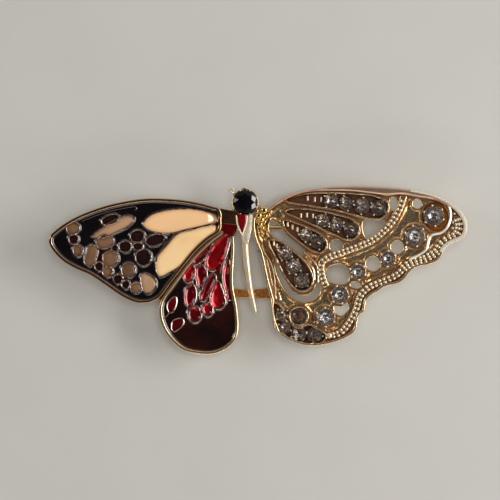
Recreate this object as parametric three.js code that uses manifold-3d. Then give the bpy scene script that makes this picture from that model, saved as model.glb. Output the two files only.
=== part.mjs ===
// A butterfly ornament pin: two enamelled left wings, an openwork right wing set with stones, a slim body
// with a black head stone, and a hinged pin with a turning safety sleeve on the back.
// Millimetres. X runs along the wing span, Y towards the head, Z away from the pin back.
import * as THREE from "three";
import { mergeVertices } from "three/addons/utils/BufferGeometryUtils.js";
import Module from "manifold-3d";

const wasm = await Module();
wasm.setup();

// ---- Driving dimensions ----

const GAP = 0.03; // clearance between soldered, poured or set pieces
const SINK = 0.05; // how far a raised piece reaches into the one it grows from
const PAST = 1; // how far a cutting solid runs past the faces it cuts
const LOOP_STEP = 1.05; // distance between points along a wing outline
const CELL_STEP = 0.65; // the same along a cell wall
const DIHEDRAL = THREE.MathUtils.degToRad(4); // how far each wing tips up from flat

const HIND = { back: 0, floor: 0.6, field: 1.25, pool: 1.35, wall: 1.45, rim: 1.6, rimWidth: 0.6 };
const FORE = { back: 0.75, floor: 1.35, field: 2.0, pool: 2.1, wall: 2.2, rim: 2.35, rimWidth: 0.6 };
const CLOISON = 0.25; // thickness of the walls between enamels
const NET = { floor: 0.95, base: 1.3, band: 1.6, wall: 1.85, rim: 1.9, brow: 2.1, rimWidth: 0.5 };
const FINGER_WALL = 0.3; // thickness of the walls round the rows of stones
const POCKET_FLOOR = 0.5; // level of the sunk seat round the largest stone
const STONE = { table: 0.6, crown: 0.32, pavilion: 0.72, girdle: 0.03, sides: 8 }; // shares of its radius
const STONE_LEVEL = 1.08; // height of the girdles in the rows
const CUP_LEVEL = 1.55; // height of the girdles in the single cups
const CUP_WALL = 0.25;
const SEAT_HOLE = 0.3; // share of a stone's radius that is open behind it

const STRAP = { back: -0.6, front: -0.05 }; // the flat strap that joins the wings behind
const THORAX_TOP = 2.5;
const SHOULDER_SINK = 0.4; // how far the shoulder lies below the thorax's top
const DROP = { depth: 0.6, sunk: 0.1 }; // the enamel drop in the thorax
const HEAD = { x: 0.17, y: 6.27, radius: 2.03, base: 0.95, bottom: 0.12, level: 2.05, wall: 0.22 };
const HEAD_LIP = { foot: 0.7, flare: 0.5, above: 0.15, below: 0.1, hollow: 0.5 }; // the cup's profile
const JET = { crown: 0.3, pavilion: 0.45, girdle: 0.04 };
const ANTENNA = { radius: 0.17, sides: 8 };
const ROUND = 28; // sides of a round tube

const PIN = { y: 2, z: -1.9, radius: 0.42, hinge: -9.9, tip: 14.2 };
const KNUCKLE = { radius: 0.85, width: 1.05, ear: 0.5, plate: 0.45, reach: 2, play: 0.1 };
const RIVET = { radius: 0.36, head: 0.25, headShare: 1.7 };
const CATCH = { start: 10.6, end: 13.2, cheek: 0.45, cheekRadius: 1.3, bore: 0.55, tube: 0.85, mouth: 1.1 };
const CATCH_PLATE = { overhang: 0.8, width: 3.4, thickness: 0.5, post: 1, top: 0.45 };
const SLEEVE = { radius: 1.2, lug: 0.5, lugWidth: 0.5, lugAngle: 222, lugSink: 0.15 };

// ---- Outlines, in millimetres from the middle of the thorax ----

const FOREWING = curve(LOOP_STEP, [
  [-3.9, 3.3], [-4, 5], [-5.7, 5.7], [-8.7, 6.4], [-12, 6.8], [-16.2, 6.9], [-20, 6.4], [-24, 5.4],
  [-28.2, 3.7], [-31, 1.9], [-32.4, 0.4], [-32.3, -0.9], [-30.4, -3.3], [-28, -4.8], [-25.7, -5.8],
  [-23, -7.6], [-20, -9.6], [-17.7, -10.5], [-15.7, -10.4], [-14.2, -9.6], [-12.5, -7.4], [-10.1, -4.3],
  [-8.1, -1.9], [-6.3, -0.2], [-4, 1.6],
]);

const CREAM_CELLS = {
  cream_front: curve(CELL_STEP, [
    [-16.8, 2.5], [-16.1, 3.6], [-14.6, 4.4], [-12, 4.9], [-9, 5], [-6.6, 4.6], [-4.9, 3.9], [-4.6, 3.2],
    [-6.5, 2.6], [-10, 1.8], [-12.7, 1.2], [-14.8, 1.4], [-16.2, 1.9],
  ]),
  cream_back: curve(CELL_STEP, [
    [-11.1, 0.9], [-8.8, 1.55], [-6.6, 2.15], [-4.9, 2.3], [-5.2, 1], [-7.1, -0.9], [-9.3, -2.8],
    [-11.1, -4.4], [-12.8, -5.4], [-14.2, -6], [-14.7, -4.8], [-14.6, -3.2], [-12.9, -1],
  ]),
  cream_tip_bar: curve(CELL_STEP, [
    [-25.2, 0.5], [-23.8, 1.7], [-21.6, 3.1], [-19.4, 3.9], [-18.5, 3.5], [-19.2, 2.5], [-21.5, 1.3],
    [-23.9, 0.4],
  ]),
  cream_spot_comma: curve(CELL_STEP, [
    [-25.2, -0.9], [-24.5, -1.6], [-24.7, -2.8], [-25.3, -4.1], [-26.1, -4.2], [-26.6, -3.5], [-26.3, -2.3],
    [-25.9, -1.1],
  ]),
  cream_spot_corner: curve(CELL_STEP, [
    [-17.1, -5.7], [-16.2, -5.8], [-15.2, -6.5], [-14.9, -7.4], [-15.3, -8.3], [-16.1, -8.8], [-16.9, -8.3],
    [-17.2, -7.2],
  ]),
  cream_spot_wide: oval(-23.3, -0.3, 1.35, 1, 10),
  cream_spot_middle: oval(-22.3, -3.1, 1.2, 1.2),
  cream_spot_low: oval(-19.4, -5, 1.05, 1.15),
  cream_spot_edge: oval(-18.1, -7.9, 0.9, 0.75),
  cream_spot_tip: oval(-28.5, 1.9, 1, 0.85, 20),
};

// Small bare rings of wire laid in the black field.
const WIRE_RINGS = [
  oval(-28.4, 0.1, 0.7, 0.7), oval(-27.7, -1.8, 0.7, 0.85, 15), oval(-24.2, -4.4, 0.65, 0.65),
  oval(-21.1, -6.5, 0.7, 0.7), oval(-19.8, -7.4, 0.6, 0.6), oval(-17.9, 0.6, 1.1, 0.95, 10),
  oval(-19.9, -1.1, 0.95, 0.85), oval(-17.8, -1.1, 0.75, 0.6), oval(-16.9, -2.9, 1.2, 1.3),
  oval(-14.9, 0, 1.6, 0.85, 15), oval(-22.4, 3.4, 1.5, 0.65, 20), oval(-21.6, -1.4, 0.5, 0.55),
  oval(-22.8, -5.3, 0.75, 0.75),
];

const HINDWING = curve(LOOP_STEP, [
  [-3.6, 1.6], [-6, -0.1], [-8.2, -2.2], [-10.4, -4.9], [-12.3, -7.5], [-13.8, -9.6], [-14.3, -11.5],
  [-13.9, -14], [-12.6, -16.3], [-10.2, -18.4], [-8, -19], [-5.5, -19.1], [-3.2, -18.3], [-1.5, -16.7],
  [-1, -14.8], [-1.2, -11.3], [-1.8, -8.2], [-1.9, -6.2], [-1.8, -4], [-1.7, -1], [-2.1, 1.4],
]);

// The edge of the hindwing that tucks under the forewing and is soldered there.
const HINDWING_TUCK = polygon([[-4, 1], [-14, -10.2], [-15, -9], [-13.4, -6.4], [-9.2, -1], [-4.8, 2.9]]);

const RED_CELLS = {
  red_root: curve(CELL_STEP, [
    [-2.5, 1.2], [-3.8, 0.6], [-5, -0.7], [-6.1, -2.4], [-6.5, -3.9], [-5.8, -5], [-4.7, -4.8], [-3.6, -3.4],
    [-2.9, -1.5],
  ]),
  red_shoulder: curve(CELL_STEP, [
    [-5.4, -0.3], [-6.6, -1.2], [-8.1, -2.7], [-8.7, -3.7], [-8, -4], [-7, -3.2], [-6.1, -1.9],
  ]),
  red_edge: curve(CELL_STEP, [
    [-9.1, -3.9], [-8.5, -4.6], [-8.5, -5.8], [-9.1, -6.9], [-9.8, -6.9], [-10.3, -5.9], [-10, -4.5],
  ]),
  red_middle: curve(CELL_STEP, [
    [-7.3, -4.1], [-6.5, -5.1], [-6.5, -6.4], [-7, -7.5], [-7.6, -8.3], [-8, -6.9], [-8.1, -4.9],
  ]),
  red_outer: curve(CELL_STEP, [
    [-8.8, -7.3], [-8.3, -8.3], [-8.3, -9.8], [-8.8, -10.9], [-9.4, -11.3], [-9.9, -10.1], [-9.8, -8.5],
    [-9.4, -7.7],
  ]),
  red_blade: curve(CELL_STEP, [
    [-5.3, -5.6], [-4.9, -6.2], [-5.3, -7.6], [-6.1, -9.1], [-7, -10.2], [-7.5, -9.8], [-7, -8.2],
    [-6.2, -6.6],
  ]),
  red_drop: curve(CELL_STEP, [
    [-4.5, -6.8], [-4, -8], [-3.4, -9.6], [-3.4, -10.7], [-4.3, -11.4], [-5.3, -11], [-5.7, -9.8], [-5.2, -8],
  ]),
  red_low_spot: oval(-6.25, -11.6, 0.8, 1.05, 10),
  red_low_outer: oval(-8.4, -12.4, 1.05, 1.25, 10),
  red_inner_strip: curve(CELL_STEP, [
    [-2.75, -3], [-2.6, -4.4], [-2.6, -6.4], [-2.5, -8.3], [-2.2, -9.9], [-2.7, -9.9], [-3.2, -8.4],
    [-3.6, -6.7], [-3.5, -5], [-3.1, -3.7],
  ]),
};

const RIGHT_WING = curve(LOOP_STEP, [
  [1.7, 4], [2.7, 4.8], [3.9, 5.3], [5.5, 6.5], [7.5, 7.5], [10.5, 8.35], [14, 8.85], [18, 9], [22, 8.9],
  [26, 8.6], [30, 7.95], [33, 6.95], [35.4, 5.5], [36.8, 3.7], [37.15, 2], [36.6, 0.4], [35, -0.5],
  [33.6, -1.3], [33, -2.5], [32, -3.6], [30.4, -4.2], [28.6, -4.6], [27.5, -5.5], [26.6, -6.7], [25.2, -7.4],
  [23.5, -7.8], [22.2, -8.7], [21, -9.4], [20.4, -10.3], [20.2, -11.7], [19.3, -12.5], [19, -13.6],
  [18.8, -14.8], [17.9, -15.8], [16.2, -16.7], [13.5, -17.45], [11, -17.65], [8.2, -16.9], [6.4, -15.9],
  [5.4, -14.6], [4.9, -12.6], [4.6, -9.8], [3.9, -7.2], [3.4, -5], [2.8, -2.3], [1.8, 0.3], [1.5, 2.2],
]);

// The sunk fingers that hold the rows of stones.
const FINGERS = [
  curve(CELL_STEP, [
    [6.9, 6.6], [10, 7.5], [14, 7.75], [18, 7.6], [22, 7.1], [23.8, 6.1], [23.9, 4.7], [22.6, 3.6],
    [20.3, 3.8], [16, 4.9], [11.3, 5.8], [8.6, 6.2],
  ]),
  curve(CELL_STEP, [
    [7, 4.7], [8.5, 5.1], [11.8, 4.85], [15.5, 4.1], [18.1, 3.2], [19.2, 1.8], [18.7, 0.5], [17.4, 0.15],
    [14.9, 1.1], [11, 2.9], [8.3, 4.1],
  ]),
  curve(CELL_STEP, [
    [6.8, 3.2], [9, 2.6], [11.5, 1.6], [13.4, 0.2], [13.8, -1], [13, -1.95], [11.6, -1.7], [9, 0.1],
    [7.3, 1.6],
  ]),
  curve(CELL_STEP, [
    [4.4, -0.2], [5.8, -0.2], [8, -1.7], [10.2, -3.8], [11.3, -5.7], [11.4, -7.2], [10.4, -8.3],
    [9, -8.2], [7.4, -6.5], [5.6, -3],
  ]),
  curve(CELL_STEP, [
    [5.2, -10.4], [6.6, -11.7], [7.6, -13.2], [8.2, -14.4], [9.3, -14.8], [10.8, -14.2], [12.3, -14.9],
    [13.7, -16], [12.8, -17], [9.8, -17], [7, -15.8], [5.6, -14],
  ]),
];

const RING_CELL = oval(9.25, -12.7, 1.4, 1.4);
const POCKET = oval(31.9, 3.85, 2.15, 2.5, 15);

// The line inside which the broad raised brow of the upper edge ends.
const BROW_INNER = polygon([
  [4, 4.7], [5.5, 5.7], [7.6, 6.95], [10.3, 7.8], [14, 8.05], [18, 7.95], [22, 7.5], [24, 7.3], [26, 7.45],
  [29, 7], [31.7, 6.5], [33.6, 5.7], [35, 4.9], [36.2, 4.3], [38, 3.6], [38, -20], [0, -20], [0, 4.7],
]);

// Openings right through the net of the right wing.
const OPENINGS = [
  oval(24.95, 6, 0.7, 1.1, 0),
  curve(CELL_STEP, [[20.1, 3.2], [23.7, 3.1], [23.5, 2], [22.4, 0.7], [20.7, 0.1], [19.9, 1.7]]),
  oval(15.5, -1, 1.1, 1.05),
  oval(28.9, 6, 0.75, 0.75),
  oval(25.6, -1.2, 1.05, 1.1),
  oval(21.6, -3.95, 1.2, 1.2),
  curve(CELL_STEP, [
    [14.1, -4.6], [15.4, -4.1], [16.8, -4.2], [17.5, -5], [17.6, -6.2], [17.1, -7.2], [14.4, -6.9],
    [13.8, -5.8],
  ]),
  oval(18.7, -7.5, 0.9, 0.5, -10),
  curve(CELL_STEP, [[15.1, -11], [16.2, -11.2], [17.4, -10.4], [17.5, -11.3], [16.3, -12.6], [15.4, -12]]),
  curve(CELL_STEP, [
    [5.2, -3.6], [6.2, -5.2], [7.3, -7.3], [8.5, -8.8], [10.2, -9.3], [11.6, -8.6], [12.4, -7],
    [12.9, -7.7], [12.5, -9.3], [11.1, -10.2], [9.2, -10.2], [7.4, -8.9], [5.9, -6.5],
  ]),
  curve(CELL_STEP, [
    [4.6, 3.2], [5.8, 2.7], [7.2, 0.9], [9.2, -0.8], [10.3, -2.1], [9.7, -2.6], [7.6, -0.9], [5.2, 0.5],
    [4.3, 1.6],
  ]),
];

// Bead bands and plain veins that lie over the net, as centre lines.
const BANDS = [
  {
    width: 1.15,
    line: [
      [26.7, 7.6], [26.1, 5.6], [24.7, 3], [22.2, 0.4], [19.7, -0.9], [16.9, -1.95], [14.5, -2.8],
      [13.1, -3.8], [13, -5.2], [13.4, -6.8], [13.8, -7.8],
    ],
  },
  {
    width: 1.1,
    line: [
      [35.3, 4], [35.75, 2.3], [35, 0.6], [33.3, -0.4], [31.8, -2.1], [29.6, -3.3], [27.3, -4.1],
      [25.6, -5.7], [23.5, -6.7], [21, -7.8], [19.5, -9.3], [18.7, -11.8], [17.5, -13.9], [16.2, -15.4],
      [14.7, -15.9],
    ],
  },
  { width: 0.5, line: [[2.5, -1.7], [3.8, -3.5], [4.7, -7.3], [5.4, -9.9]] },
];

const STONE_ROWS = [
  { x: 14.6, y: 6.55, r: 1.03 }, { x: 17.05, y: 6.1, r: 1.2 }, { x: 19.8, y: 5.65, r: 1.23 },
  { x: 22.5, y: 5.35, r: 1.2 }, { x: 13.2, y: 3.2, r: 1.05 }, { x: 15.5, y: 2.55, r: 1.18 },
  { x: 17.9, y: 1.75, r: 1.18 }, { x: 10.45, y: 0.85, r: 1.02 }, { x: 12.35, y: -0.4, r: 1.18 },
  { x: 6.95, y: -2.2, r: 0.93 }, { x: 8.4, y: -4.4, r: 1.13 }, { x: 9.75, y: -6.7, r: 1.18 },
  { x: 6.45, y: -12.5, r: 0.85 }, { x: 6.9, y: -14.6, r: 1 }, { x: 9.25, y: -15.75, r: 0.98 },
  { x: 11.9, y: -15.75, r: 0.98 }, { x: 9.25, y: -12.7, r: 1.17 },
];

const STONE_CUPS = [
  { x: 31.6, y: 4, r: 1.45 }, { x: 28.5, y: 0.65, r: 1.45 }, { x: 24.05, y: -3.1, r: 1.1 },
  { x: 19.05, y: -5.3, r: 1.12 }, { x: 16.05, y: -9.1, r: 1.27 }, { x: 13.7, y: -12.85, r: 1.35 },
];

const THORAX = curve(CELL_STEP, [
  [-1.2, 3.9], [0, 4.3], [1.15, 3.9], [1.1, 2.5], [0.85, 0.5], [0.6, -0.7], [-0.1, -0.7], [-0.6, 1],
  [-1, 2.6],
]);
const THORAX_DROP = curve(CELL_STEP, [
  [-0.75, 3.2], [-0.1, 3.5], [0.35, 3.1], [0.2, 2], [-0.2, 1], [-0.55, 2],
]);
const SHOULDER = curve(CELL_STEP, [
  [-3.7, 4.9], [-2.3, 5.1], [-0.6, 4.6], [-0.6, 2.9], [-2, 2.8], [-3.7, 3],
]);
const WING_STRAP = polygon([[-5.6, 2.9], [-5.6, 4.5], [3.6, 4.5], [3.6, 2.9]]);

// The abdomen tapers from the thorax to its tip. Each station is [x, y, z, radius].
const ABDOMEN = [
  [0.2, 0.4, 1.2, 0.62], [0.25, -1.5, 1.3, 0.6], [0.5, -4.3, 1.35, 0.58], [0.85, -7, 1.3, 0.52],
  [1.25, -9.2, 1.25, 0.42], [1.7, -11, 1.2, 0.32], [1.95, -12.1, 1.2, 0.2],
];

// Antenna stations are [x, y, z, share of the antenna's radius].
const CURLED_ANTENNA = [
  [-1.6, 7.82, 1.6, 1], [-2.1, 8, 1.8, 1], [-2.45, 8.3, 1.9, 1], [-2.2, 8.6, 2, 1], [-1.75, 8.35, 2, 1.5],
];
const SHORT_ANTENNA = [
  [-0.1, 8.6, 1.6, 1], [-0.1, 8.72, 1.95, 1], [0.15, 8.75, 2.2, 1.1], [0.45, 8.7, 2.3, 1.6],
];

const NECK = oval(HEAD.x, HEAD.y - 0.9, 1.4, 2);
const CROSS_TIE = curve(CELL_STEP, [
  [-2.9, -8.3], [0.8, -8.4], [4.6, -8.2], [5, -9], [4.6, -9.7], [0.8, -9.7], [-2.9, -9.5], [-3.2, -8.9],
]);

// ---- Plane curves ----

// A closed smooth loop through the points, as evenly spaced points in counter-clockwise order.
function curve(step, points) {
  const path = new THREE.CatmullRomCurve3(
    points.map(([x, y]) => new THREE.Vector3(x, y, 0)),
    true,
    "centripetal",
  );
  const count = Math.max(12, Math.round(path.getLength() / step));
  return polygon(path.getSpacedPoints(count).slice(0, count).map((p) => [p.x, p.y]));
}

function oval(x, y, rx, ry, turn = 0) {
  const rotation = THREE.MathUtils.degToRad(turn);
  const path = new THREE.EllipseCurve(x, y, rx, ry, 0, 2 * Math.PI, false, rotation);
  const count = Math.max(10, Math.round(path.getLength() / CELL_STEP));
  return path.getSpacedPoints(count).slice(0, count);
}

function polygon(points) {
  const loop = points.map(([x, y]) => new THREE.Vector2(x, y));
  return THREE.ShapeUtils.area(loop) < 0 ? loop.reverse() : loop;
}

// The loop moved outwards by a distance, or inwards where the distance is negative.
function offset(loop, distance) {
  return loop.map((p, i) => {
    const before = loop[(i + loop.length - 1) % loop.length];
    const after = loop[(i + 1) % loop.length];
    const a = p.clone().sub(before).normalize();
    const b = after.clone().sub(p).normalize();
    const outward = new THREE.Vector2(a.y + b.y, -a.x - b.x).normalize();
    return p.clone().addScaledVector(outward, distance);
  });
}

// The outline of a band of even width along a centre line, with round ends.
function band(line, width) {
  const path = new THREE.SplineCurve(line.map(([x, y]) => new THREE.Vector2(x, y)));
  const middle = path.getSpacedPoints(Math.round(path.getLength() / LOOP_STEP));
  const side = (sign) =>
    middle.map((p, i) => {
      const along = path.getTangentAt(i / (middle.length - 1));
      return [p.x - (sign * along.y * width) / 2, p.y + (sign * along.x * width) / 2];
    });
  return polygon([...side(1), ...side(-1).reverse()]);
}

// ---- Solids ----

function solid(geometry) {
  const bare = geometry.clone();
  bare.deleteAttribute("normal");
  bare.deleteAttribute("uv");
  const merged = mergeVertices(bare, 1e-4);
  const mesh = { numProp: 3, vertProperties: merged.attributes.position.array, triVerts: merged.index.array };
  mesh.triVerts = new Uint32Array(mesh.triVerts);
  return new wasm.Manifold(new wasm.Mesh(mesh));
}

function geometry(body) {
  const mesh = body.getMesh();
  const made = new THREE.BufferGeometry();
  made.setAttribute("position", new THREE.BufferAttribute(Float32Array.from(mesh.vertProperties), 3));
  made.setIndex(new THREE.BufferAttribute(Uint32Array.from(mesh.triVerts), 1));
  const flat = made.toNonIndexed();
  flat.computeVertexNormals();
  return flat;
}

// A solid tipped about the Y axis, as a wing is.
const tipped = (body, angle) => solid(geometry(body).rotateY(angle));

const join = (...bodies) => bodies.reduce((all, next) => all.add(next));
const cut = (body, ...tools) => tools.reduce((left, tool) => left.subtract(tool), body);

// Enamel and metal too thin to cast is left off: only the largest piece is kept.
const largest = (body) => body.decompose().reduce((a, b) => (b.volume() > a.volume() ? b : a));

function slab(loop, bottom, top, hole) {
  const shape = new THREE.Shape(loop);
  if (hole) shape.holes.push(new THREE.Path(hole));
  const made = new THREE.ExtrudeGeometry(shape, { depth: top - bottom, bevelEnabled: false, steps: 1 });
  return solid(made.translate(0, 0, bottom));
}

// A wall of even thickness standing round the outside of a loop.
const wall = (loop, thickness, bottom, top) => slab(offset(loop, thickness), bottom, top, loop);

// A rim standing just inside a loop.
const rim = (loop, width, bottom, top) => slab(loop, bottom, top, offset(loop, -width));

// A turned solid about the Z axis at a point, from a profile of [radius, height] pairs.
function turned(profile, x, y, sides) {
  const made = new THREE.LatheGeometry(profile.map(([r, z]) => new THREE.Vector2(r, z)), sides);
  return solid(made.rotateX(Math.PI / 2).translate(x, y, 0));
}

// A rod that bends through [x, y, z, radius] stations, with flat ends.
function rod(stations, steps, sides = 10) {
  const path = new THREE.CatmullRomCurve3(stations.map(([x, y, z]) => new THREE.Vector3(x, y, z)));
  const radii = new THREE.SplineCurve(stations.map(([, , , r], i) => new THREE.Vector2(i, r)));
  const frames = path.computeFrenetFrames(steps);
  const points = [];
  const faces = [];
  for (let i = 0; i <= steps; i++) {
    const centre = path.getPoint(i / steps);
    const radius = radii.getPoint(i / steps).y;
    for (let j = 0; j < sides; j++) {
      const angle = (2 * Math.PI * j) / sides;
      const point = centre.clone().addScaledVector(frames.normals[i], radius * Math.cos(angle));
      points.push(point.addScaledVector(frames.binormals[i], radius * Math.sin(angle)));
    }
  }
  const ring = (i, j) => i * sides + (j % sides);
  for (let i = 0; i < steps; i++) {
    for (let j = 0; j < sides; j++) {
      faces.push(ring(i, j), ring(i, j + 1), ring(i + 1, j));
      faces.push(ring(i + 1, j), ring(i, j + 1), ring(i + 1, j + 1));
    }
  }
  for (let j = 1; j < sides - 1; j++) {
    faces.push(ring(0, 0), ring(0, j + 1), ring(0, j));
    faces.push(ring(steps, 0), ring(steps, j), ring(steps, j + 1));
  }
  const made = new THREE.BufferGeometry().setFromPoints(points);
  made.setIndex(faces);
  const body = solid(made);
  return body.volume() < 0 ? solid(flipped(made)) : body;
}

// Stations whose last number is a share of a radius, with that radius worked out.
const scaled = (stations, radius) => stations.map(([x, y, z, share]) => [x, y, z, share * radius]);

function flipped(source) {
  const made = source.clone();
  const order = source.index.array;
  made.setIndex(Array.from(order, (v, i) => order[i - (i % 3) + [0, 2, 1][i % 3]]));
  return made;
}

// A round bar along X or Y.
function bar(radius, start, end, axis, centre, sides = 20) {
  const made = new THREE.CylinderGeometry(radius, radius, end - start, sides);
  if (axis === "x") made.rotateZ(-Math.PI / 2);
  const [x, y, z] = centre;
  const middle = (start + end) / 2;
  return solid(axis === "x" ? made.translate(middle, y, z) : made.translate(x, middle, z));
}

function block(x0, x1, y0, y1, z0, z1) {
  const made = new THREE.BoxGeometry(x1 - x0, y1 - y0, z1 - z0);
  return solid(made.translate((x0 + x1) / 2, (y0 + y1) / 2, (z0 + z1) / 2));
}

// ---- Materials ----

const metal = (color, roughness = 0.3) => () =>
  new THREE.MeshStandardMaterial({ color, roughness, metalness: 1 });
const glassy = (color, roughness = 0.15) => () =>
  new THREE.MeshStandardMaterial({ color, roughness, metalness: 0 });

const gold = metal("#c9962f");
const paleGold = metal("#d8ac55", 0.25);
const cream = glassy("#e2bf8c");
const black = glassy("#0b0b10");
const red = glassy("#8e0f18");
const crystal = glassy("#dfe6ec", 0.05);
const jet = glassy("#08080a", 0.05);

function piece(name, body, material) {
  const mesh = new THREE.Mesh(geometry(body), material());
  mesh.name = name;
  return mesh;
}

// ---- Left wings: enamel poured in metal trays ----

// A tray with its rim and cell walls, the enamel poured in each cell, and the black field between them.
function enamelledWing(level, outline, cells, rings) {
  const walls = [...Object.values(cells), ...rings];
  const tray = join(
    slab(outline, level.back, level.floor),
    rim(outline, level.rimWidth, level.floor - SINK, level.rim),
    ...walls.map((loop) => wall(loop, CLOISON, level.floor - SINK, level.wall)),
  ).intersect(slab(outline, level.back, level.rim));
  const inside = slab(offset(outline, -level.rimWidth - GAP), level.floor + GAP, level.rim);
  const blocked = (loop) => slab(offset(loop, CLOISON + GAP), level.floor, level.rim);
  const pools = Object.entries(cells).map(([name, loop]) => {
    const pool = slab(offset(loop, -GAP), level.floor + GAP, level.pool).intersect(inside);
    return [name, largest(cut(pool, ...walls.filter((other) => other !== loop).map(blocked)))];
  });
  const field = slab(offset(outline, -level.rimWidth - GAP), level.floor + GAP, level.field);
  return { tray, pools, field: largest(cut(field, ...walls.map(blocked))) };
}

function leftWings() {
  const wings = new THREE.Group();
  const fore = enamelledWing(FORE, FOREWING, CREAM_CELLS, WIRE_RINGS);
  wings.add(piece("forewing_tray", fore.tray, gold), piece("forewing_black", fore.field, black));
  fore.pools.forEach(([name, pool]) => wings.add(piece(name, pool, cream)));

  const hind = enamelledWing(HIND, HINDWING, RED_CELLS, []);
  const room = slab(offset(FOREWING, 2 * GAP), FORE.back - GAP, FORE.rim);
  const tray = join(hind.tray, slab(HINDWING_TUCK, HIND.back, HIND.floor));
  wings.add(
    piece("hindwing_tray", largest(cut(tray, room)), gold),
    piece("hindwing_black", largest(cut(hind.field, room)), black),
  );
  hind.pools.forEach(([name, pool]) => wings.add(piece(name, largest(cut(pool, room)), red)));
  wings.add(hingeBracket());
  wings.rotation.y = DIHEDRAL;
  return wings;
}

// ---- Right wing: a cast openwork net set with stones ----

function stone(x, y, r, level, material, name) {
  const body = turned(
    [
      [0, level - STONE.pavilion * r],
      [r, level - STONE.girdle * r],
      [r, level + STONE.girdle * r],
      [STONE.table * r, level + STONE.crown * r],
      [0, level + STONE.crown * r],
    ],
    x,
    y,
    STONE.sides,
  );
  return piece(name, body, material);
}

// The funnel drilled for a stone: a clearance wider than the stone, and open behind.
function seat(x, y, r, level, back) {
  const clear = r + 2 * GAP;
  const hole = SEAT_HOLE * r;
  const neck = level - STONE.pavilion * (r - hole) - 3 * GAP;
  return turned(
    [
      [0, back - SINK],
      [hole, back - SINK],
      [hole, neck],
      [clear, level - STONE.girdle * r],
      [clear, NET.brow + PAST],
      [0, NET.brow + PAST],
    ],
    x,
    y,
    STONE.sides,
  );
}

function rightWing() {
  const wing = new THREE.Group();
  const sheet = cut(
    slab(RIGHT_WING, 0, NET.base),
    ...OPENINGS.map((loop) => slab(loop, -SINK, NET.rim)),
  );
  const brow = cut(
    slab(RIGHT_WING, NET.base - SINK, NET.brow),
    slab(BROW_INNER, NET.base - 2 * SINK, NET.rim + PAST),
  );
  const cups = STONE_CUPS.map(({ x, y, r }) =>
    slab(oval(x, y, r + CUP_WALL, r + CUP_WALL), 0, CUP_LEVEL + SINK),
  );
  const raised = join(
    cut(sheet, slab(POCKET, POCKET_FLOOR, NET.rim)),
    rim(RIGHT_WING, NET.rimWidth, NET.base - SINK, NET.rim),
    brow,
    ...BANDS.map(({ line, width }) => slab(band(line, width), NET.base - 2 * SINK, NET.band)),
    ...[...FINGERS, RING_CELL].map((loop) => slab(offset(loop, FINGER_WALL), 0, NET.wall)),
  );
  const sunk = [...FINGERS, RING_CELL].map((loop) => slab(loop, NET.floor, NET.brow + PAST));
  const net = cut(
    join(cut(raised, ...sunk), ...cups),
    ...STONE_ROWS.map(({ x, y, r }) => seat(x, y, r, STONE_LEVEL, 0)),
    ...STONE_CUPS.map(({ x, y, r }) => seat(x, y, r, CUP_LEVEL, 0)),
  );
  wing.add(piece("right_wing", largest(net), paleGold));
  const set = (places, level, name) =>
    places.forEach(({ x, y, r }, i) => wing.add(stone(x, y, r, level, crystal, `${name}_${i + 1}`)));
  set(STONE_ROWS, STONE_LEVEL, "stone_row");
  set(STONE_CUPS, CUP_LEVEL, "stone_cup");
  wing.rotation.y = -DIHEDRAL;
  return wing;
}

// ---- Body, head and antennae ----

function bodyAndTie() {
  const group = new THREE.Group();
  const headRoom = HEAD.radius + HEAD.wall + GAP;
  const room = slab(oval(HEAD.x, HEAD.y, headRoom, headRoom), HEAD.base - GAP, THORAX_TOP + PAST);
  const abdomen = rod(ABDOMEN, 14);
  const drop = slab(THORAX_DROP, THORAX_TOP - DROP.depth, THORAX_TOP + PAST);
  const forewingSpace = slab(offset(FOREWING, 2 * GAP), FORE.back - 2 * GAP, FORE.rim + PAST);
  const trunk = cut(
    join(
      slab(WING_STRAP, STRAP.back, STRAP.front),
      slab(THORAX, STRAP.front - SINK, THORAX_TOP),
      slab(SHOULDER, STRAP.front - SINK, THORAX_TOP - SHOULDER_SINK),
      slab(NECK, STRAP.front - SINK, HEAD.base - GAP),
      abdomen,
    ),
    room,
    drop,
    tipped(forewingSpace, DIHEDRAL),
  );
  const enamelDrop = slab(offset(THORAX_DROP, -GAP), THORAX_TOP - DROP.depth + GAP, THORAX_TOP - DROP.sunk);
  group.add(
    piece("body", trunk, gold),
    piece("red_thorax_drop", enamelDrop, red),
    piece("cross_tie", slab(CROSS_TIE, STRAP.back, STRAP.front), gold),
  );
  return group;
}

function head() {
  const group = new THREE.Group();
  const { x, y, radius, base, bottom, level, wall: thickness } = HEAD;
  const outer = radius + thickness;
  const inner = radius + GAP;
  const cup = turned(
    [
      [0, base],
      [HEAD_LIP.foot * outer, base],
      [outer, base + HEAD_LIP.flare],
      [outer, level + HEAD_LIP.above],
      [inner, level + HEAD_LIP.above],
      [inner, level - HEAD_LIP.below],
      [HEAD_LIP.hollow, base + bottom],
      [0, base + bottom],
    ],
    x,
    y,
    24,
  );
  const jetStone = turned(
    [
      [0, level - JET.pavilion * radius],
      [radius, level - JET.girdle],
      [radius, level + JET.girdle],
      [STONE.table * radius, level + JET.crown * radius],
      [0, level + JET.crown * radius],
    ],
    x,
    y,
    STONE.sides,
  );
  const antenna = (stations, steps) => rod(scaled(stations, ANTENNA.radius), steps, ANTENNA.sides);
  group.add(
    piece("head_cup", cup, gold),
    piece("head_stone", jetStone, jet),
    piece("antenna_left", antenna(CURLED_ANTENNA, 12), gold),
    piece("antenna_right", antenna(SHORT_ANTENNA, 8), gold),
  );
  return group;
}

// ---- Pin back ----

// Height, in a tipped wing's own frame, of a point at the pin's level.
const pinLevelInWing = (x) => (PIN.z - Math.abs(x) * Math.sin(DIHEDRAL)) / Math.cos(DIHEDRAL);

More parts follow.
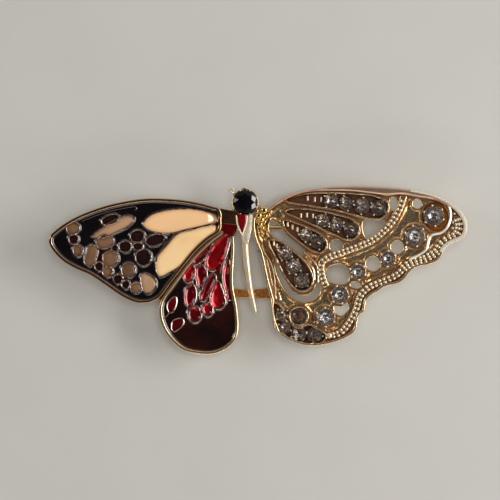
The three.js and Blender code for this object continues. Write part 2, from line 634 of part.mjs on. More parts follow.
// The pin's hinge point in the left wing's frame and in the frame of the whole pin.
const hingeZ = pinLevelInWing(PIN.hinge);
const yAxis = new THREE.Vector3(0, 1, 0);
const hingePoint = new THREE.Vector3(PIN.hinge, PIN.y, hingeZ).applyAxisAngle(yAxis, DIHEDRAL);

// Two ears on a plate soldered under the forewing, joined by the rivet that the pin turns on.
function hingeBracket() {
  const bracket = new THREE.Group();
  const inner = KNUCKLE.width / 2 + 2 * GAP;
  const outer = inner + KNUCKLE.ear;
  const ends = outer + RIVET.head;
  const top = FORE.back - GAP;
  const { hinge, y } = PIN;
  const { reach, radius } = KNUCKLE;
  const across = (r, from, to) => bar(r, y + from, y + to, "y", [hinge, 0, hingeZ]);
  const plate = block(hinge - reach, hinge + reach, y - outer, y + outer, top - KNUCKLE.plate, top);
  const ear = (from, to) =>
    join(
      across(radius, from, to),
      block(hinge - radius, hinge + radius, y + from, y + to, hingeZ, top - SINK),
    );
  const bore = across(RIVET.radius + GAP, -outer - PAST, outer + PAST);
  const ears = cut(join(plate, ear(inner, outer), ear(-outer, -inner)), bore);
  const rivet = join(
    across(RIVET.radius, -ends, ends),
    across(RIVET.headShare * RIVET.radius, outer + GAP, ends),
    across(RIVET.headShare * RIVET.radius, -ends, -outer - GAP),
  );
  bracket.add(piece("hinge_bracket", ears, gold), piece("hinge_rivet", rivet, paleGold));
  return bracket;
}

function pinStem() {
  const { x, y, z } = hingePoint;
  const side = KNUCKLE.width / 2;
  const knuckle = bar(KNUCKLE.radius - KNUCKLE.play, y - side, y + side, "y", [x, 0, z]);
  const bore = bar(RIVET.radius + GAP, y - side - PAST, y + side + PAST, "y", [x, 0, z]);
  const stations = [
    [x + 0.5, y, z, 1], [x + 6, y, z, 1], [x + 12, y, z, 1], [PIN.tip - 4, y, z, 1],
    [PIN.tip - 2, y, z, 0.85], [PIN.tip, y, z, 0.2],
  ];
  const wire = rod(scaled(stations, PIN.radius), 10, 12);
  return piece("pin_stem", cut(join(knuckle, wire), bore), paleGold);
}

// A round bar along the pin's own line.
const along = (radius, start, end) => bar(radius, start, end, "x", [0, PIN.y, PIN.z], ROUND);

// The slot under the pin's line, which lets the pin in.
const mouth = (start, end) =>
  block(start, end, PIN.y - CATCH.mouth / 2, PIN.y + CATCH.mouth / 2, PIN.z - SLEEVE.radius - PAST, PIN.z);

// A tube along the pin's line with the slot open downwards.
const slottedTube = (outer, inner, start, end) =>
  cut(along(outer, start, end), along(inner, start - PAST, end + PAST), mouth(start - PAST, end + PAST));

function pinCatch() {
  const { start, end, cheek, cheekRadius, bore, tube } = CATCH;
  const { overhang, width, thickness, post, top } = CATCH_PLATE;
  const plate = new THREE.BoxGeometry(end - start + 2 * overhang, width, thickness);
  const middle = (start + end) / 2;
  plate.translate(middle, PIN.y, -thickness / 2 - GAP).rotateY(-DIHEDRAL);
  const cheekPlate = (x0) =>
    cut(
      join(
        along(cheekRadius, x0, x0 + cheek),
        block(x0, x0 + cheek, PIN.y - post, PIN.y + post, PIN.z, top),
      ),
      along(bore, x0 - PAST, x0 + PAST),
      mouth(x0 - PAST, x0 + PAST),
    );
  const housing = join(
    solid(plate),
    cheekPlate(start),
    cheekPlate(end - cheek),
    slottedTube(tube, bore, start, end),
  );
  const sleeveStart = start + cheek + 2 * GAP;
  const sleeveEnd = end - cheek - 2 * GAP;
  const lugAngle = THREE.MathUtils.degToRad(SLEEVE.lugAngle);
  const lug = new THREE.BoxGeometry(sleeveEnd - sleeveStart, SLEEVE.lug + SLEEVE.lugSink, SLEEVE.lugWidth);
  lug.translate(middle, SLEEVE.radius + (SLEEVE.lug - SLEEVE.lugSink) / 2, 0);
  lug.rotateX(lugAngle).translate(0, PIN.y, PIN.z);
  const sleeve = join(slottedTube(SLEEVE.radius, tube + GAP, sleeveStart, sleeveEnd), solid(lug));
  const group = new THREE.Group();
  group.add(piece("catch", housing, gold), piece("catch_sleeve", sleeve, paleGold));
  return group;
}

// ---- Assembly, with the origin under the middle of the bounding box ----

const group = new THREE.Group();
const pin = new THREE.Group();
pin.add(leftWings(), rightWing(), bodyAndTie(), head(), pinStem(), pinCatch());
group.add(pin);

const box = new THREE.Box3().setFromObject(pin);
const middle = box.getCenter(new THREE.Vector3());
pin.position.set(-middle.x, -middle.y, -box.min.z);

export default group;
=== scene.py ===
# %% [markdown]
# # A butterfly pin in gilt metal, enamel and glass
#
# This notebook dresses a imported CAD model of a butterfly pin. The CAD holds every size, place and joint. It
# is loaded here as a fixed frame, and each of its plain solids is replaced with a finer piece in the same
# place. The frame comes first, because every later position is measured from it.

# %% Load the frame
import math

import bmesh
import bpy
import numpy as np
from mathutils import Matrix, Vector, geometry


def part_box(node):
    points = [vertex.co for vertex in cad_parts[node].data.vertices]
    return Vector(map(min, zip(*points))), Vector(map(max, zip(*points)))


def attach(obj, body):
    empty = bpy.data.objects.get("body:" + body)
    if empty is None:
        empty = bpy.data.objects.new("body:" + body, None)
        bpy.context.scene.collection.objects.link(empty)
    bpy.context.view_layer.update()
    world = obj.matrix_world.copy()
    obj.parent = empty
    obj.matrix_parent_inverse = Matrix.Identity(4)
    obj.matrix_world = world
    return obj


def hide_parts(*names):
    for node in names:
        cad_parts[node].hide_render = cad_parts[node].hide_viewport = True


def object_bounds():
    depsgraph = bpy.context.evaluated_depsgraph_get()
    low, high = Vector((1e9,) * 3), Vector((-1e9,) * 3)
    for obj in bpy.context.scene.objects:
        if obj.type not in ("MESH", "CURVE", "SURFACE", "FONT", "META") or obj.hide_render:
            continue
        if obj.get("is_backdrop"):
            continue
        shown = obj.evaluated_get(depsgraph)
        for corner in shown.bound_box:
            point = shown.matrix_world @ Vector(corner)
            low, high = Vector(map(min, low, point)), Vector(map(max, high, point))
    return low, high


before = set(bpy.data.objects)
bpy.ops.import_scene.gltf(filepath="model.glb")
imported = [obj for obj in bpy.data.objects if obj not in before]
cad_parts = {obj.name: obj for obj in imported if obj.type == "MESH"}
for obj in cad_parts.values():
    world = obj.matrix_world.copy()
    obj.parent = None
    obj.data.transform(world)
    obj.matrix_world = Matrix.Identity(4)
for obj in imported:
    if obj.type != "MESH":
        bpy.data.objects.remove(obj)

cad_low, cad_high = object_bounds()
print("CAD box in metres:", list(cad_low), list(cad_high))

# %% [markdown]
# ## A bench in millimetres
#
# Jewellery is drawn in millimetres, and Blender's own units are metres. One way round that is to model at
# full size with tiny numbers. Here every piece is modelled in millimetres on a "bench", and shrunk when it
# is laid in the frame. There are three benches, because each pair of wings tips up a little from the body:
# the tip is measured from the flat back of a wing, and the middle of the thorax from the head stone and the
# pin.

# %% Benches for the body and the two sides
MM = 0.001
HEAD_FROM_MIDDLE = Vector((0.17, 6.27))
PIN_BELOW_MIDDLE = 1.9
FACES_DOWN = -0.95


def box_mm(node):
    low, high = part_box(node)
    return Vector(low) / MM, Vector(high) / MM


def centre_mm(node):
    low, high = box_mm(node)
    return (low + high) / 2


def tip_of(node):
    """The angle by which a wing's flat back is turned about the Y axis."""
    down = Vector()
    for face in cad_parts[node].data.polygons:
        if face.normal.z < FACES_DOWN:
            down += face.normal * face.area
    return math.atan2(-down.x, -down.z)


head = centre_mm("head_stone")
middle = Vector((head.x - HEAD_FROM_MIDDLE.x, head.y - HEAD_FROM_MIDDLE.y, 0))
middle.z = centre_mm("pin_stem").z + PIN_BELOW_MIDDLE

BODY = Matrix.Translation(middle)
LEFT = BODY @ Matrix.Rotation(tip_of("forewing_tray"), 4, "Y")
RIGHT = BODY @ Matrix.Rotation(tip_of("right_wing"), 4, "Y")
print("middle of the thorax in mm:", [round(v, 3) for v in middle])
print("tips in degrees:", [round(math.degrees(tip_of(n)), 2) for n in ("forewing_tray", "right_wing")])

# %% [markdown]
# ## The camera
#
# The pin is looked at from straight above. A near camera makes raised parts lean outwards, and a parallel
# one looks drawn. A narrow lens from far off keeps the lines nearly parallel, as for a small thing held out
# in the hand. The middle of the view is a little below the thorax and to its right, where the whole pin sits
# evenly in it.

# %% Camera
scene = bpy.context.scene
VIEW_WIDTH = 83.3
VIEW_CENTRE = Vector((1.0, -1.67, 2.0))
CAMERA_HEIGHT = 260.0
CAMERA_REACH = (0.01, 10)


def aim(thing, target):
    thing.rotation_mode = "QUATERNION"
    thing.rotation_quaternion = (target - thing.location).to_track_quat("-Z", "Y")


view_middle = BODY @ VIEW_CENTRE
camera = bpy.data.objects.new("camera", bpy.data.cameras.new("camera"))
scene.collection.objects.link(camera)
camera.location = (view_middle + Vector((0, 0, CAMERA_HEIGHT))) * MM
camera.data.angle = 2 * math.atan(VIEW_WIDTH / 2 / CAMERA_HEIGHT)
camera.data.clip_start, camera.data.clip_end = CAMERA_REACH
scene.camera = camera
scene.view_settings.view_transform = "Standard"
print("camera looks at", [round(v, 2) for v in view_middle])

# %% [markdown]
# ## The lamps
#
# Polished metal shows what is round it, so the light is what draws it. Small lamps would leave hard dots on
# every bead. Soft boxes give long, calm streaks: a wide, low window at the right with a large faint glow
# round it, and weak ones at the left and in front. An overhead lamp that polished surfaces don't mirror
# lights the sheet, the cream enamel and whatever shows through the openings of the wing, and leaves the
# dark enamel dark.

# %% Soft boxes
LAMPS = (
    # name, place, size, power, colour: places and sizes are in millimetres from the middle of the pin.
    ("window_right", (345, 30, 240), (330, 105), 1.0, (1.0, 0.98, 0.96)),
    ("window_glow", (390, 120, 280), (340, 340), 0.2, (1.0, 0.98, 0.95)),
    ("window_left", (-360, 120, 240), (100, 260), 0.25, (0.90, 0.95, 1.0)),
    ("window_front", (60, -360, 230), (300, 70), 0.2, (1.0, 0.97, 0.93)),
    ("ceiling", (30, 30, 600), (260, 260), 1.65, (1.0, 0.98, 0.96)),
)


def soft_box(name, place, size, power, color):
    """A rectangular lamp that looks at the middle of the pin."""
    lamp = bpy.data.lights.new(name, "AREA")
    lamp.shape = "RECTANGLE"
    lamp.size, lamp.size_y = size[0] * MM, size[1] * MM
    lamp.energy = power
    lamp.color = color
    made = bpy.data.objects.new(name, lamp)
    scene.collection.objects.link(made)
    made.location = Vector(place) * MM
    aim(made, Vector())
    return made


lamps = {row[0]: soft_box(*row) for row in LAMPS}
lamps["ceiling"].visible_glossy = False
lamps["ceiling"].visible_transmission = False
print("lamps:", list(lamps))

# %% [markdown]
# ## The room
#
# Between the lamps, metal mirrors the room. An even grey room makes gold look like plastic. This one is
# pale low down and dark overhead, so that flat gold looks brown and black enamel black, and the bright
# lines are left to the round edges. It is brighter towards the window than away from it.

# %% The room's shade
LOWEST, OVERHEAD = (0.40, 0.38, 0.36, 1), (0.022, 0.017, 0.016, 1)
BETWEEN = ((0.35, (0.32, 0.28, 0.26, 1)), (0.75, (0.05, 0.036, 0.03, 1)))
FAR_SIDE, WINDOW_SIDE = 0.3, 2.2

world = bpy.data.worlds.new("room")
world.use_nodes = True
room = world.node_tree
sky = room.nodes.new("ShaderNodeTexCoord")
height = room.nodes.new("ShaderNodeSeparateXYZ")
shade = room.nodes.new("ShaderNodeValToRGB")
sideways = room.nodes.new("ShaderNodeMapRange")
sideways.inputs["From Min"].default_value = -1
sideways.inputs["To Min"].default_value = FAR_SIDE
sideways.inputs["To Max"].default_value = WINDOW_SIDE
room.links.new(sky.outputs["Generated"], height.inputs["Vector"])
room.links.new(height.outputs["Z"], shade.inputs["Fac"])
room.links.new(height.outputs["X"], sideways.inputs["Value"])
room.links.new(sideways.outputs["Result"], room.nodes["Background"].inputs["Strength"])
room.links.new(shade.outputs["Color"], room.nodes["Background"].inputs["Color"])
shade.color_ramp.elements[0].color = LOWEST
shade.color_ramp.elements[1].color = OVERHEAD
for place, color in BETWEEN:
    shade.color_ramp.elements.new(place).color = color
scene.world = world
print("stops in the room's shade:", len(shade.color_ramp.elements))

# %% [markdown]
# ## Shared effects
#
# Cast and plated metal is never one even colour. Recesses hold a brown film that polishing never reaches,
# and the plating is a little uneven. Glass enamel has fine specks and drifts of colour. Each effect is a
# node group, built once and placed in several materials with its own values. Groups give out only colours
# and values that change over the surface, and the shader stays in the material.

# %% Tools for node trees
def socket(group, name, kind, way, value=None):
    made = group.interface.new_socket(name=name, in_out=way, socket_type=kind)
    if value is not None:
        made.default_value = value
    return made


def new_group(name, inputs, outputs):
    """A shader node group with its input and output nodes. Sockets are (name, kind, default) rows."""
    group = bpy.data.node_groups.new(name, "ShaderNodeTree")
    for label, kind, value in inputs:
        socket(group, label, kind, "INPUT", value)
    for label, kind in outputs:
        socket(group, label, kind, "OUTPUT")
    return group, group.nodes.new("NodeGroupInput"), group.nodes.new("NodeGroupOutput")


def node(tree, kind, settings=None, **values):
    """Adds a node. Settings are its properties, and values are its unlinked inputs, by name."""
    made = tree.nodes.new(kind)
    for key, value in (settings or {}).items():
        setattr(made, key, value)
    for key, value in values.items():
        made.inputs[key.replace("_", " ")].default_value = value
    return made


def link(tree, source, target):
    tree.links.new(source, target)

# %% [markdown]
# Most effects are sums and mixes of a few values. A node for each sum takes four lines to place and wire.
# These helpers take a plain number or another node's output in the same place, so that an effect reads like
# a formula.

# %% Sums, mixes and steps
def math_node(tree, operation, a, b=None, clamp=False):
    made = node(tree, "ShaderNodeMath", {"operation": operation, "use_clamp": clamp})
    for index, value in enumerate((a, b)):
        if value is None:
            continue
        if isinstance(value, (int, float)):
            made.inputs[index].default_value = value
        else:
            link(tree, value, made.inputs[index])
    return made.outputs[0]


def mix_color(tree, factor, a, b):
    made = node(tree, "ShaderNodeMix", {"data_type": "RGBA"})
    for value, target in ((factor, made.inputs[0]), (a, made.inputs[6]), (b, made.inputs[7])):
        if isinstance(value, (int, float, tuple)):
            target.default_value = value
        else:
            link(tree, value, target)
    return made.outputs[2]


def ramp(tree, value, low, high):
    """0 below low, 1 above high, and a smooth step between."""
    made = node(tree, "ShaderNodeMapRange", {"interpolation_type": "SMOOTHSTEP"}, From_Min=low, From_Max=high)
    link(tree, value, made.inputs["Value"])
    return made.outputs["Result"]

# %% [markdown]
# ### Plated metal
#
# A dark film could be drawn by hand into each recess. Ambient occlusion finds the recesses by itself: it
# measures how much open space a point sees within a short reach. A slow noise makes the film patchy and the
# plating uneven, and a fine grain rubs the polish.

# %% The film in recesses, and uneven plating
def recess_film():
    """Plated metal: its colour with brown film in recesses, its roughness, and the height of its skin."""
    group, given, out = new_group(
        "recess_film",
        [
            ("Metal", "NodeSocketColor", (0.8, 0.6, 0.3, 1)),
            ("Film", "NodeSocketColor", (0.2, 0.09, 0.03, 1)),
            ("Reach", "NodeSocketFloat", 0.0006),
            ("Amount", "NodeSocketFloat", 0.8),
            ("Polish", "NodeSocketFloat", 0.2),
        ],
        [("Color", "NodeSocketColor"), ("Roughness", "NodeSocketFloat"), ("Height", "NodeSocketFloat")],
    )
    places = node(group, "ShaderNodeTexCoord")
    open_sky = node(group, "ShaderNodeAmbientOcclusion", {"samples": 6})
    link(group, given.outputs["Reach"], open_sky.inputs["Distance"])
    drift = node(group, "ShaderNodeTexNoise", Scale=420.0, Detail=3.0, Roughness=0.55)
    grain = node(group, "ShaderNodeTexNoise", Scale=5200.0, Detail=4.0, Roughness=0.6)
    link(group, places.outputs["Object"], drift.inputs["Vector"])
    link(group, places.outputs["Object"], grain.inputs["Vector"])
    hidden = math_node(group, "SUBTRACT", 1.0, ramp(group, open_sky.outputs["AO"], 0.3, 0.95))
    uneven = math_node(group, "MULTIPLY", hidden, math_node(group, "ADD", drift.outputs["Fac"], 0.5))
    film = math_node(group, "MULTIPLY", uneven, given.outputs["Amount"], clamp=True)
    patches = ramp(group, drift.outputs["Fac"], 0.35, 0.75)
    warm = mix_color(group, patches, given.outputs["Metal"], given.outputs["Film"])
    toned = mix_color(group, 0.08, given.outputs["Metal"], warm)
    link(group, mix_color(group, film, toned, given.outputs["Film"]), out.inputs["Color"])
    rubbed = math_node(group, "MULTIPLY", ramp(group, grain.outputs["Fac"], 0.3, 0.8), 0.1)
    dulled = math_node(group, "ADD", rubbed, math_node(group, "MULTIPLY", film, 0.25))
    link(group, math_node(group, "ADD", dulled, given.outputs["Polish"]), out.inputs["Roughness"])
    fine = math_node(group, "MULTIPLY", grain.outputs["Fac"], 0.3)
    link(group, math_node(group, "ADD", fine, drift.outputs["Fac"]), out.inputs["Height"])
    return group


RECESS_FILM = recess_film()
print("node group:", RECESS_FILM.name)

# %% [markdown]
# ### Enamel
#
# Fired glass pools, and small specks stay in it. Its colour is darker beside its wires, a painted shade from
# the walls. The distance to the wire can't be read from a flat colour, so every sheet carries it as an
# attribute, "inset", in millimetres.

# %% Specks and drifts in enamel
def enamel_drift():
    """Enamel: two tones that drift into each other, darker towards the cell wall, with fine specks."""
    group, given, out = new_group(
        "enamel_drift",
        [
            ("Light", "NodeSocketColor", (0.8, 0.6, 0.4, 1)),
            ("Deep", "NodeSocketColor", (0.5, 0.3, 0.2, 1)),
            ("Wall Shade", "NodeSocketFloat", 0.3),
            ("Shade Width", "NodeSocketFloat", 0.3),
            ("Specks", "NodeSocketFloat", 0.1),
        ],
        [("Color", "NodeSocketColor"), ("Height", "NodeSocketFloat")],
    )
    places = node(group, "ShaderNodeTexCoord")
    cloud = node(group, "ShaderNodeTexNoise", Scale=260.0, Detail=2.0)
    dust = node(group, "ShaderNodeTexNoise", Scale=3800.0, Detail=2.0)
    inset = node(group, "ShaderNodeAttribute", {"attribute_name": "inset"})
    for texture in (cloud, dust):
        link(group, places.outputs["Object"], texture.inputs["Vector"])
    away = node(group, "ShaderNodeMapRange", {"interpolation_type": "SMOOTHSTEP"})
    link(group, inset.outputs["Fac"], away.inputs["Value"])
    link(group, given.outputs["Shade Width"], away.inputs["From Max"])
    near = math_node(group, "SUBTRACT", 1.0, away.outputs["Result"])
    shade = math_node(group, "MULTIPLY", near, given.outputs["Wall Shade"])
    dots = ramp(group, dust.outputs["Fac"], 0.55, 0.75)
    speck = math_node(group, "MULTIPLY", dots, given.outputs["Specks"])
    darker = math_node(group, "ADD", shade, speck)
    tone = math_node(group, "ADD", darker, ramp(group, cloud.outputs["Fac"], 0.4, 0.9))
    depth = math_node(group, "MINIMUM", tone, 1.0)
    link(group, mix_color(group, depth, given.outputs["Light"], given.outputs["Deep"]), out.inputs["Color"])
    link(group, cloud.outputs["Fac"], out.inputs["Height"])
    return group


ENAMEL_DRIFT = enamel_drift()
print("node group:", ENAMEL_DRIFT.name)

# %% [markdown]
# ## The gilding
#
# Gilding is a Principled surface that is mostly metal. One gold for everything would look like one casting,
# and the real pin has several: a pale and slightly rosy gold on the right wing, and pinkish wire. Other golds
# are lit and shaded copies: the darker dusky gold round the left wings, the brow gold and the brown gold of
# the sunk floors are painted shade, the orange gold in the pits is a painted reflection, and the cream-bright
# gold on high spots is a painted highlight, as the paler bead gold partly is. Less metallic means that more
# of the soft overhead light shows in it. The film is the brown in its recesses: how much, and how far out of
# the corner it reaches, in metres.

# %% Metals
SKIN_HEIGHT = 0.00003


def bare_material(name):
    material = bpy.data.materials.new(name)
    material.use_nodes = True
    return material, material.node_tree, material.node_tree.nodes["Principled BSDF"]


def lay_effect(tree, shader, group, values):
    """Places a shared effect with its own values, feeds the shader's colour from it, and hands it back."""
    effect = tree.nodes.new("ShaderNodeGroup")
    effect.node_tree = group
    for key, value in values.items():
        effect.inputs[key].default_value = value
    link(tree, effect.outputs["Color"], shader.inputs["Base Color"])
    return effect


def lay_bump(tree, shader, height, strength, distance):
    bump = node(tree, "ShaderNodeBump", Strength=strength, Distance=distance)
    link(tree, height, bump.inputs["Height"])
    link(tree, bump.outputs["Normal"], shader.inputs["Normal"])


def gilding(name, metal, film, polish, amount=0.85, reach=0.0006, metallic=1.0):
    material, tree, shader = bare_material(name)
    shader.inputs["Metallic"].default_value = metallic
    values = {"Metal": metal, "Film": film, "Polish": polish, "Amount": amount, "Reach": reach}
    effect = lay_effect(tree, shader, RECESS_FILM, values)
    link(tree, effect.outputs["Roughness"], shader.inputs["Roughness"])
    lay_bump(tree, shader, effect.outputs["Height"], 0.35, SKIN_HEIGHT)
    return material


YELLOW_GOLD = gilding("yellow_gold", (0.90, 0.62, 0.27, 1), (0.16, 0.06, 0.02, 1), polish=0.15, amount=0.95)
# painted shade: a darker copy of the gold, for the forewing's tray and the ridges at the wing root
SHADE_DUSKY_GOLD = gilding("shade_dusky_gold", (0.62, 0.42, 0.25, 1), (0.10, 0.045, 0.022, 1), polish=0.14, amount=0.95)
RICH_GOLD = gilding(
    "rich_gold", (1.0, 0.72, 0.27, 1), (0.34, 0.13, 0.02, 1),
    polish=0.12, amount=0.9, reach=0.0005,
)
WIRE_GOLD = gilding(
    "wire_gold", (0.86, 0.67, 0.58, 1), (0.34, 0.18, 0.12, 1),
    polish=0.14, amount=0.6, reach=0.0003,
)
PALE_GOLD = gilding(
    "pale_gold", (1.0, 0.78, 0.48, 1), (0.46, 0.17, 0.045, 1),
    polish=0.18, amount=0.85, reach=0.0006, metallic=0.94,
)
# partly a painted highlight: a paler, less metallic copy of the gold, for beads, grains, claws and the body
BRIGHT_GOLD = gilding(
    "bright_gold", (1.0, 0.86, 0.62, 1), (0.26, 0.09, 0.025, 1),
    polish=0.14, amount=0.85, reach=0.0004, metallic=0.62,
)
# painted highlight: a cream, half-metallic copy of the gold that looks lit, for the tip ridges and the
# thorax's broad ridge
HIGHLIGHT_CREAM_GOLD = gilding(
    "highlight_cream_gold", (1.0, 0.92, 0.76, 1), (0.36, 0.17, 0.08, 1),
    polish=0.24, amount=0.8, reach=0.0005, metallic=0.5,
)
# painted shade: a darker copy of the wing's gold, for the brow, which mirrors the dark room
BROW_SHADE_GOLD = gilding(
    "brow_shade_gold", (0.84, 0.60, 0.44, 1), (0.20, 0.09, 0.05, 1),
    polish=0.3, amount=0.9, reach=0.0008, metallic=0.92,
)
SHADED_GOLD = gilding(
    "shaded_gold", (0.44, 0.23, 0.14, 1), (0.08, 0.03, 0.018, 1),
    polish=0.25, amount=1.0, reach=0.0008, metallic=0.9,
)
# painted reflection: an orange copy of the gold, for the plate in the wing's pits and the cross tie, as metal
# mirroring metal
AMBER_REFLECTION_GOLD = gilding(
    "amber_reflection_gold", (1.0, 0.46, 0.12, 1), (0.32, 0.09, 0.015, 1),
    polish=0.22, amount=1.0, reach=0.0008, metallic=0.85,
)
print("golds:", [m.name for m in bpy.data.materials])

# %% [markdown]
# ## The enamels
#
# Enamel is coloured glass on metal. A plain glossy paint looks thin, so a clear coat lies over a rougher
# base, which gives the wet shine over a soft depth. The cream ones are milky. The black hides the metal, and
# so does the hindwing's black, which is tinted maroon as a painted reflection.

# %% Milky and dark enamels
def enamel(name, light, deep, roughness, walls, coat=1.0):
    """Walls: how much darker it is by its wires, over what width in mm, and how strong its specks are."""
    material, tree, shader = bare_material(name)
    shader.inputs["Coat Weight"].default_value = coat
    shader.inputs["Coat Roughness"].default_value = 0.04
    shader.inputs["IOR"].default_value = 1.52
    shader.inputs["Roughness"].default_value = roughness
    values = {"Light": light, "Deep": deep, **dict(zip(("Wall Shade", "Shade Width", "Specks"), walls))}
    effect = lay_effect(tree, shader, ENAMEL_DRIFT, values)
    lay_bump(tree, shader, effect.outputs["Height"], 0.2, SKIN_HEIGHT)
    return material


CREAMS = {
    "front": enamel("peach_enamel", (0.80, 0.50, 0.25, 1), (0.66, 0.37, 0.17, 1), 0.3, (0.5, 0.5, 0.1)),
    "back": enamel("butter_enamel", (0.84, 0.58, 0.29, 1), (0.68, 0.43, 0.18, 1), 0.3, (0.5, 0.5, 0.1)),
    "tan": enamel("tan_enamel", (0.42, 0.25, 0.14, 1), (0.24, 0.125, 0.06, 1), 0.3, (0.6, 0.4, 0.15)),
    "dusk": enamel("dusk_enamel", (0.18, 0.092, 0.042, 1), (0.085, 0.04, 0.018, 1), 0.3, (0.6, 0.4, 0.15)),
}
BLACK = enamel("black_enamel", (0.002, 0.0016, 0.0022, 1), (0.005, 0.004, 0.006, 1), 0.1, (0.2, 0.3, 0.1))
# painted reflection: black enamel tinted maroon, for the hindwing's field
MAROON_REFLECTION_BLACK = enamel("maroon_reflection_enamel", (0.006, 0.002, 0.002, 1), (0.026, 0.004, 0.003, 1), 0.1, (0.2, 0.5, 0.1))
BROWN = enamel("brown_enamel", (0.012, 0.004, 0.003, 1), (0.004, 0.002, 0.001, 1), 0.2, (0.6, 0.4, 0.2))
print("creams:", list(CREAMS))

# %% [markdown]
# The reds are clear enamel over crinkled foil. Real glass over a foil sheet would take two surfaces for
# each small cell. A tinted mirror under a clear coat gives the same: it is bright only where a facet of the
# foil catches the light, and dark beside it.

# %% Clear reds over foil
CRINKLE_HEIGHT = 0.0009


def candy(name, light, deep):
    material, tree, shader = bare_material(name)
    shader.inputs["Metallic"].default_value = 0.8
    shader.inputs["Roughness"].default_value = 0.22
    shader.inputs["Coat Weight"].default_value = 1.0
    shader.inputs["Coat Roughness"].default_value = 0.03
    values = {"Light": light, "Deep": deep, "Wall Shade": 0.7, "Shade Width": 0.4, "Specks": 0.2}
    lay_effect(tree, shader, ENAMEL_DRIFT, values)
    places = node(tree, "ShaderNodeTexCoord")
    crinkle = node(tree, "ShaderNodeTexNoise", Scale=420.0, Detail=0.6)
    link(tree, places.outputs["Object"], crinkle.inputs["Vector"])
    lay_bump(tree, shader, crinkle.outputs["Fac"], 1.0, CRINKLE_HEIGHT)
    return material


RED = candy("red_enamel", (0.66, 0.008, 0.016, 1), (0.12, 0.001, 0.005, 1))
CRIMSON = candy("crimson_enamel", (0.30, 0.003, 0.010, 1), (0.06, 0.001, 0.003, 1))
print("reds:", RED.name, CRIMSON.name)

# %% [markdown]
# ## The glass
#
# The clear stones are glass in front and a mirror foil on the faces behind, as on real paste stones. Clear
# glass alone would show the dark floor of its setting. The head stone is opaque black glass, so it needs no
# foil: it is an enamel with a thin clear coat and a hard polish.

# %% Crystal, foil and jet
WIPE_HEIGHT = 0.00001


def wiped(tree, scale):
    """A soft noise, as a cloth leaves on glass."""
    places = node(tree, "ShaderNodeTexCoord")
    wipe = node(tree, "ShaderNodeTexNoise", Scale=scale, Detail=2.0)
    link(tree, places.outputs["Object"], wipe.inputs["Vector"])
    return wipe.outputs["Fac"]


def crystal():
    material, tree, shader = bare_material("crystal")
    shader.inputs["Base Color"].default_value = (0.97, 0.98, 1.0, 1)
    shader.inputs["Roughness"].default_value = 0.0
    shader.inputs["IOR"].default_value = 1.56
    shader.inputs["Transmission Weight"].default_value = 1.0
    lay_bump(tree, shader, wiped(tree, 900.0), 0.04, WIPE_HEIGHT)
    return material


def foil():
    material, tree, shader = bare_material("foil")
    shader.inputs["Metallic"].default_value = 1.0
    shader.inputs["Roughness"].default_value = 0.16
    worn = ramp(tree, wiped(tree, 2600.0), 0.3, 0.7)
    tone = mix_color(tree, worn, (0.66, 0.64, 0.65, 1), (0.98, 0.96, 0.97, 1))
    link(tree, tone, shader.inputs["Base Color"])
    return material


CRYSTAL = crystal()
FOIL = foil()
JET = enamel("jet_glass", (0.0015, 0.0015, 0.002, 1), (0.005, 0.005, 0.008, 1), 0.04, (0, 0.3, 0.1), coat=0.3)
print("glass:", CRYSTAL.name, FOIL.name, JET.name)

# %% [markdown]
# ## The floor
#
# A solid floor would hide the pin from below. This one is a matt sheet whose underside is clear, so that
# the back of the pin, its hinge and its catch can be looked at as well. A faint mottle keeps it from
# looking empty.

# %% The floor
def floor_material():
    """A pale matt sheet that can't be seen from behind."""
    material, tree, shader = bare_material("floor")
    shader.inputs["Roughness"].default_value = 0.9
    places = node(tree, "ShaderNodeTexCoord")
    mottle = node(tree, "ShaderNodeTexNoise", Scale=60.0, Detail=4.0)
    link(tree, places.outputs["Object"], mottle.inputs["Vector"])
    tone = mix_color(tree, mottle.outputs["Fac"], (0.49, 0.49, 0.46, 1), (0.54, 0.54, 0.505, 1))
    link(tree, tone, shader.inputs["Base Color"])
    side = node(tree, "ShaderNodeNewGeometry")
    link(tree, math_node(tree, "SUBTRACT", 1.0, side.outputs["Backfacing"]), shader.inputs["Alpha"])
    return material


FLOOR_HALF = 1.5
floor_corners = [(-1, -1), (1, -1), (1, 1), (-1, 1)]
floor_mesh = bpy.data.meshes.new("floor")
floor_mesh.from_pydata([(x * FLOOR_HALF, y * FLOOR_HALF, 0) for x, y in floor_corners], [], [(0, 1, 2, 3)])
floor = bpy.data.objects.new("floor", floor_mesh)
scene.collection.objects.link(floor)
floor_mesh.materials.append(floor_material())
floor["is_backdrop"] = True
print("floor in metres:", 2 * FLOOR_HALF)

# %% [markdown]
# ## Reading outlines from the CAD
#
# A cloisonne wing is a stack of flat levels: back plate, enamel, wall tops, rim. The CAD solid has each of
# them as a flat plateau with straight-sided edges. One could bevel that solid, but its faces are long
# slivers that bevel badly. So the outline of each plateau is read from the solid, smoothed with a curve,
# and built up again as a fine sheet whose height follows the distance from its edge. That gives
# round-topped wires and domed glass.

# %% Weld a solid's points
def welded(name, bench):
    """A CAD node's points on a bench, in millimetres, with equal points merged, and its triangles."""
    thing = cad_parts[name]
    away = bench.inverted() @ Matrix.Scale(1 / MM, 4) @ thing.matrix_world
    index = {}
    points = []
    order = []
    for vertex in thing.data.vertices:
        place = away @ vertex.co
        key = (round(place.x, 3), round(place.y, 3), round(place.z, 3))
        if key not in index:
            index[key] = len(points)
            points.append(place[:])
        order.append(index[key])
    faces = [tuple(order[v] for v in face.vertices) for face in thing.data.polygons]
    return np.array(points), [f for f in faces if len(set(f)) == len(f)]


print("points of the forewing's tray:", len(welded("forewing_tray", LEFT)[0]))

# %% [markdown]
# A plateau is every face at one height. Where two of its faces share an edge, the edge runs both ways and
# drops out, so the edges that run one way only are the outline. They are strung together end to end. Points
# that nearly touch are dropped, because they would make a smooth curve wriggle.

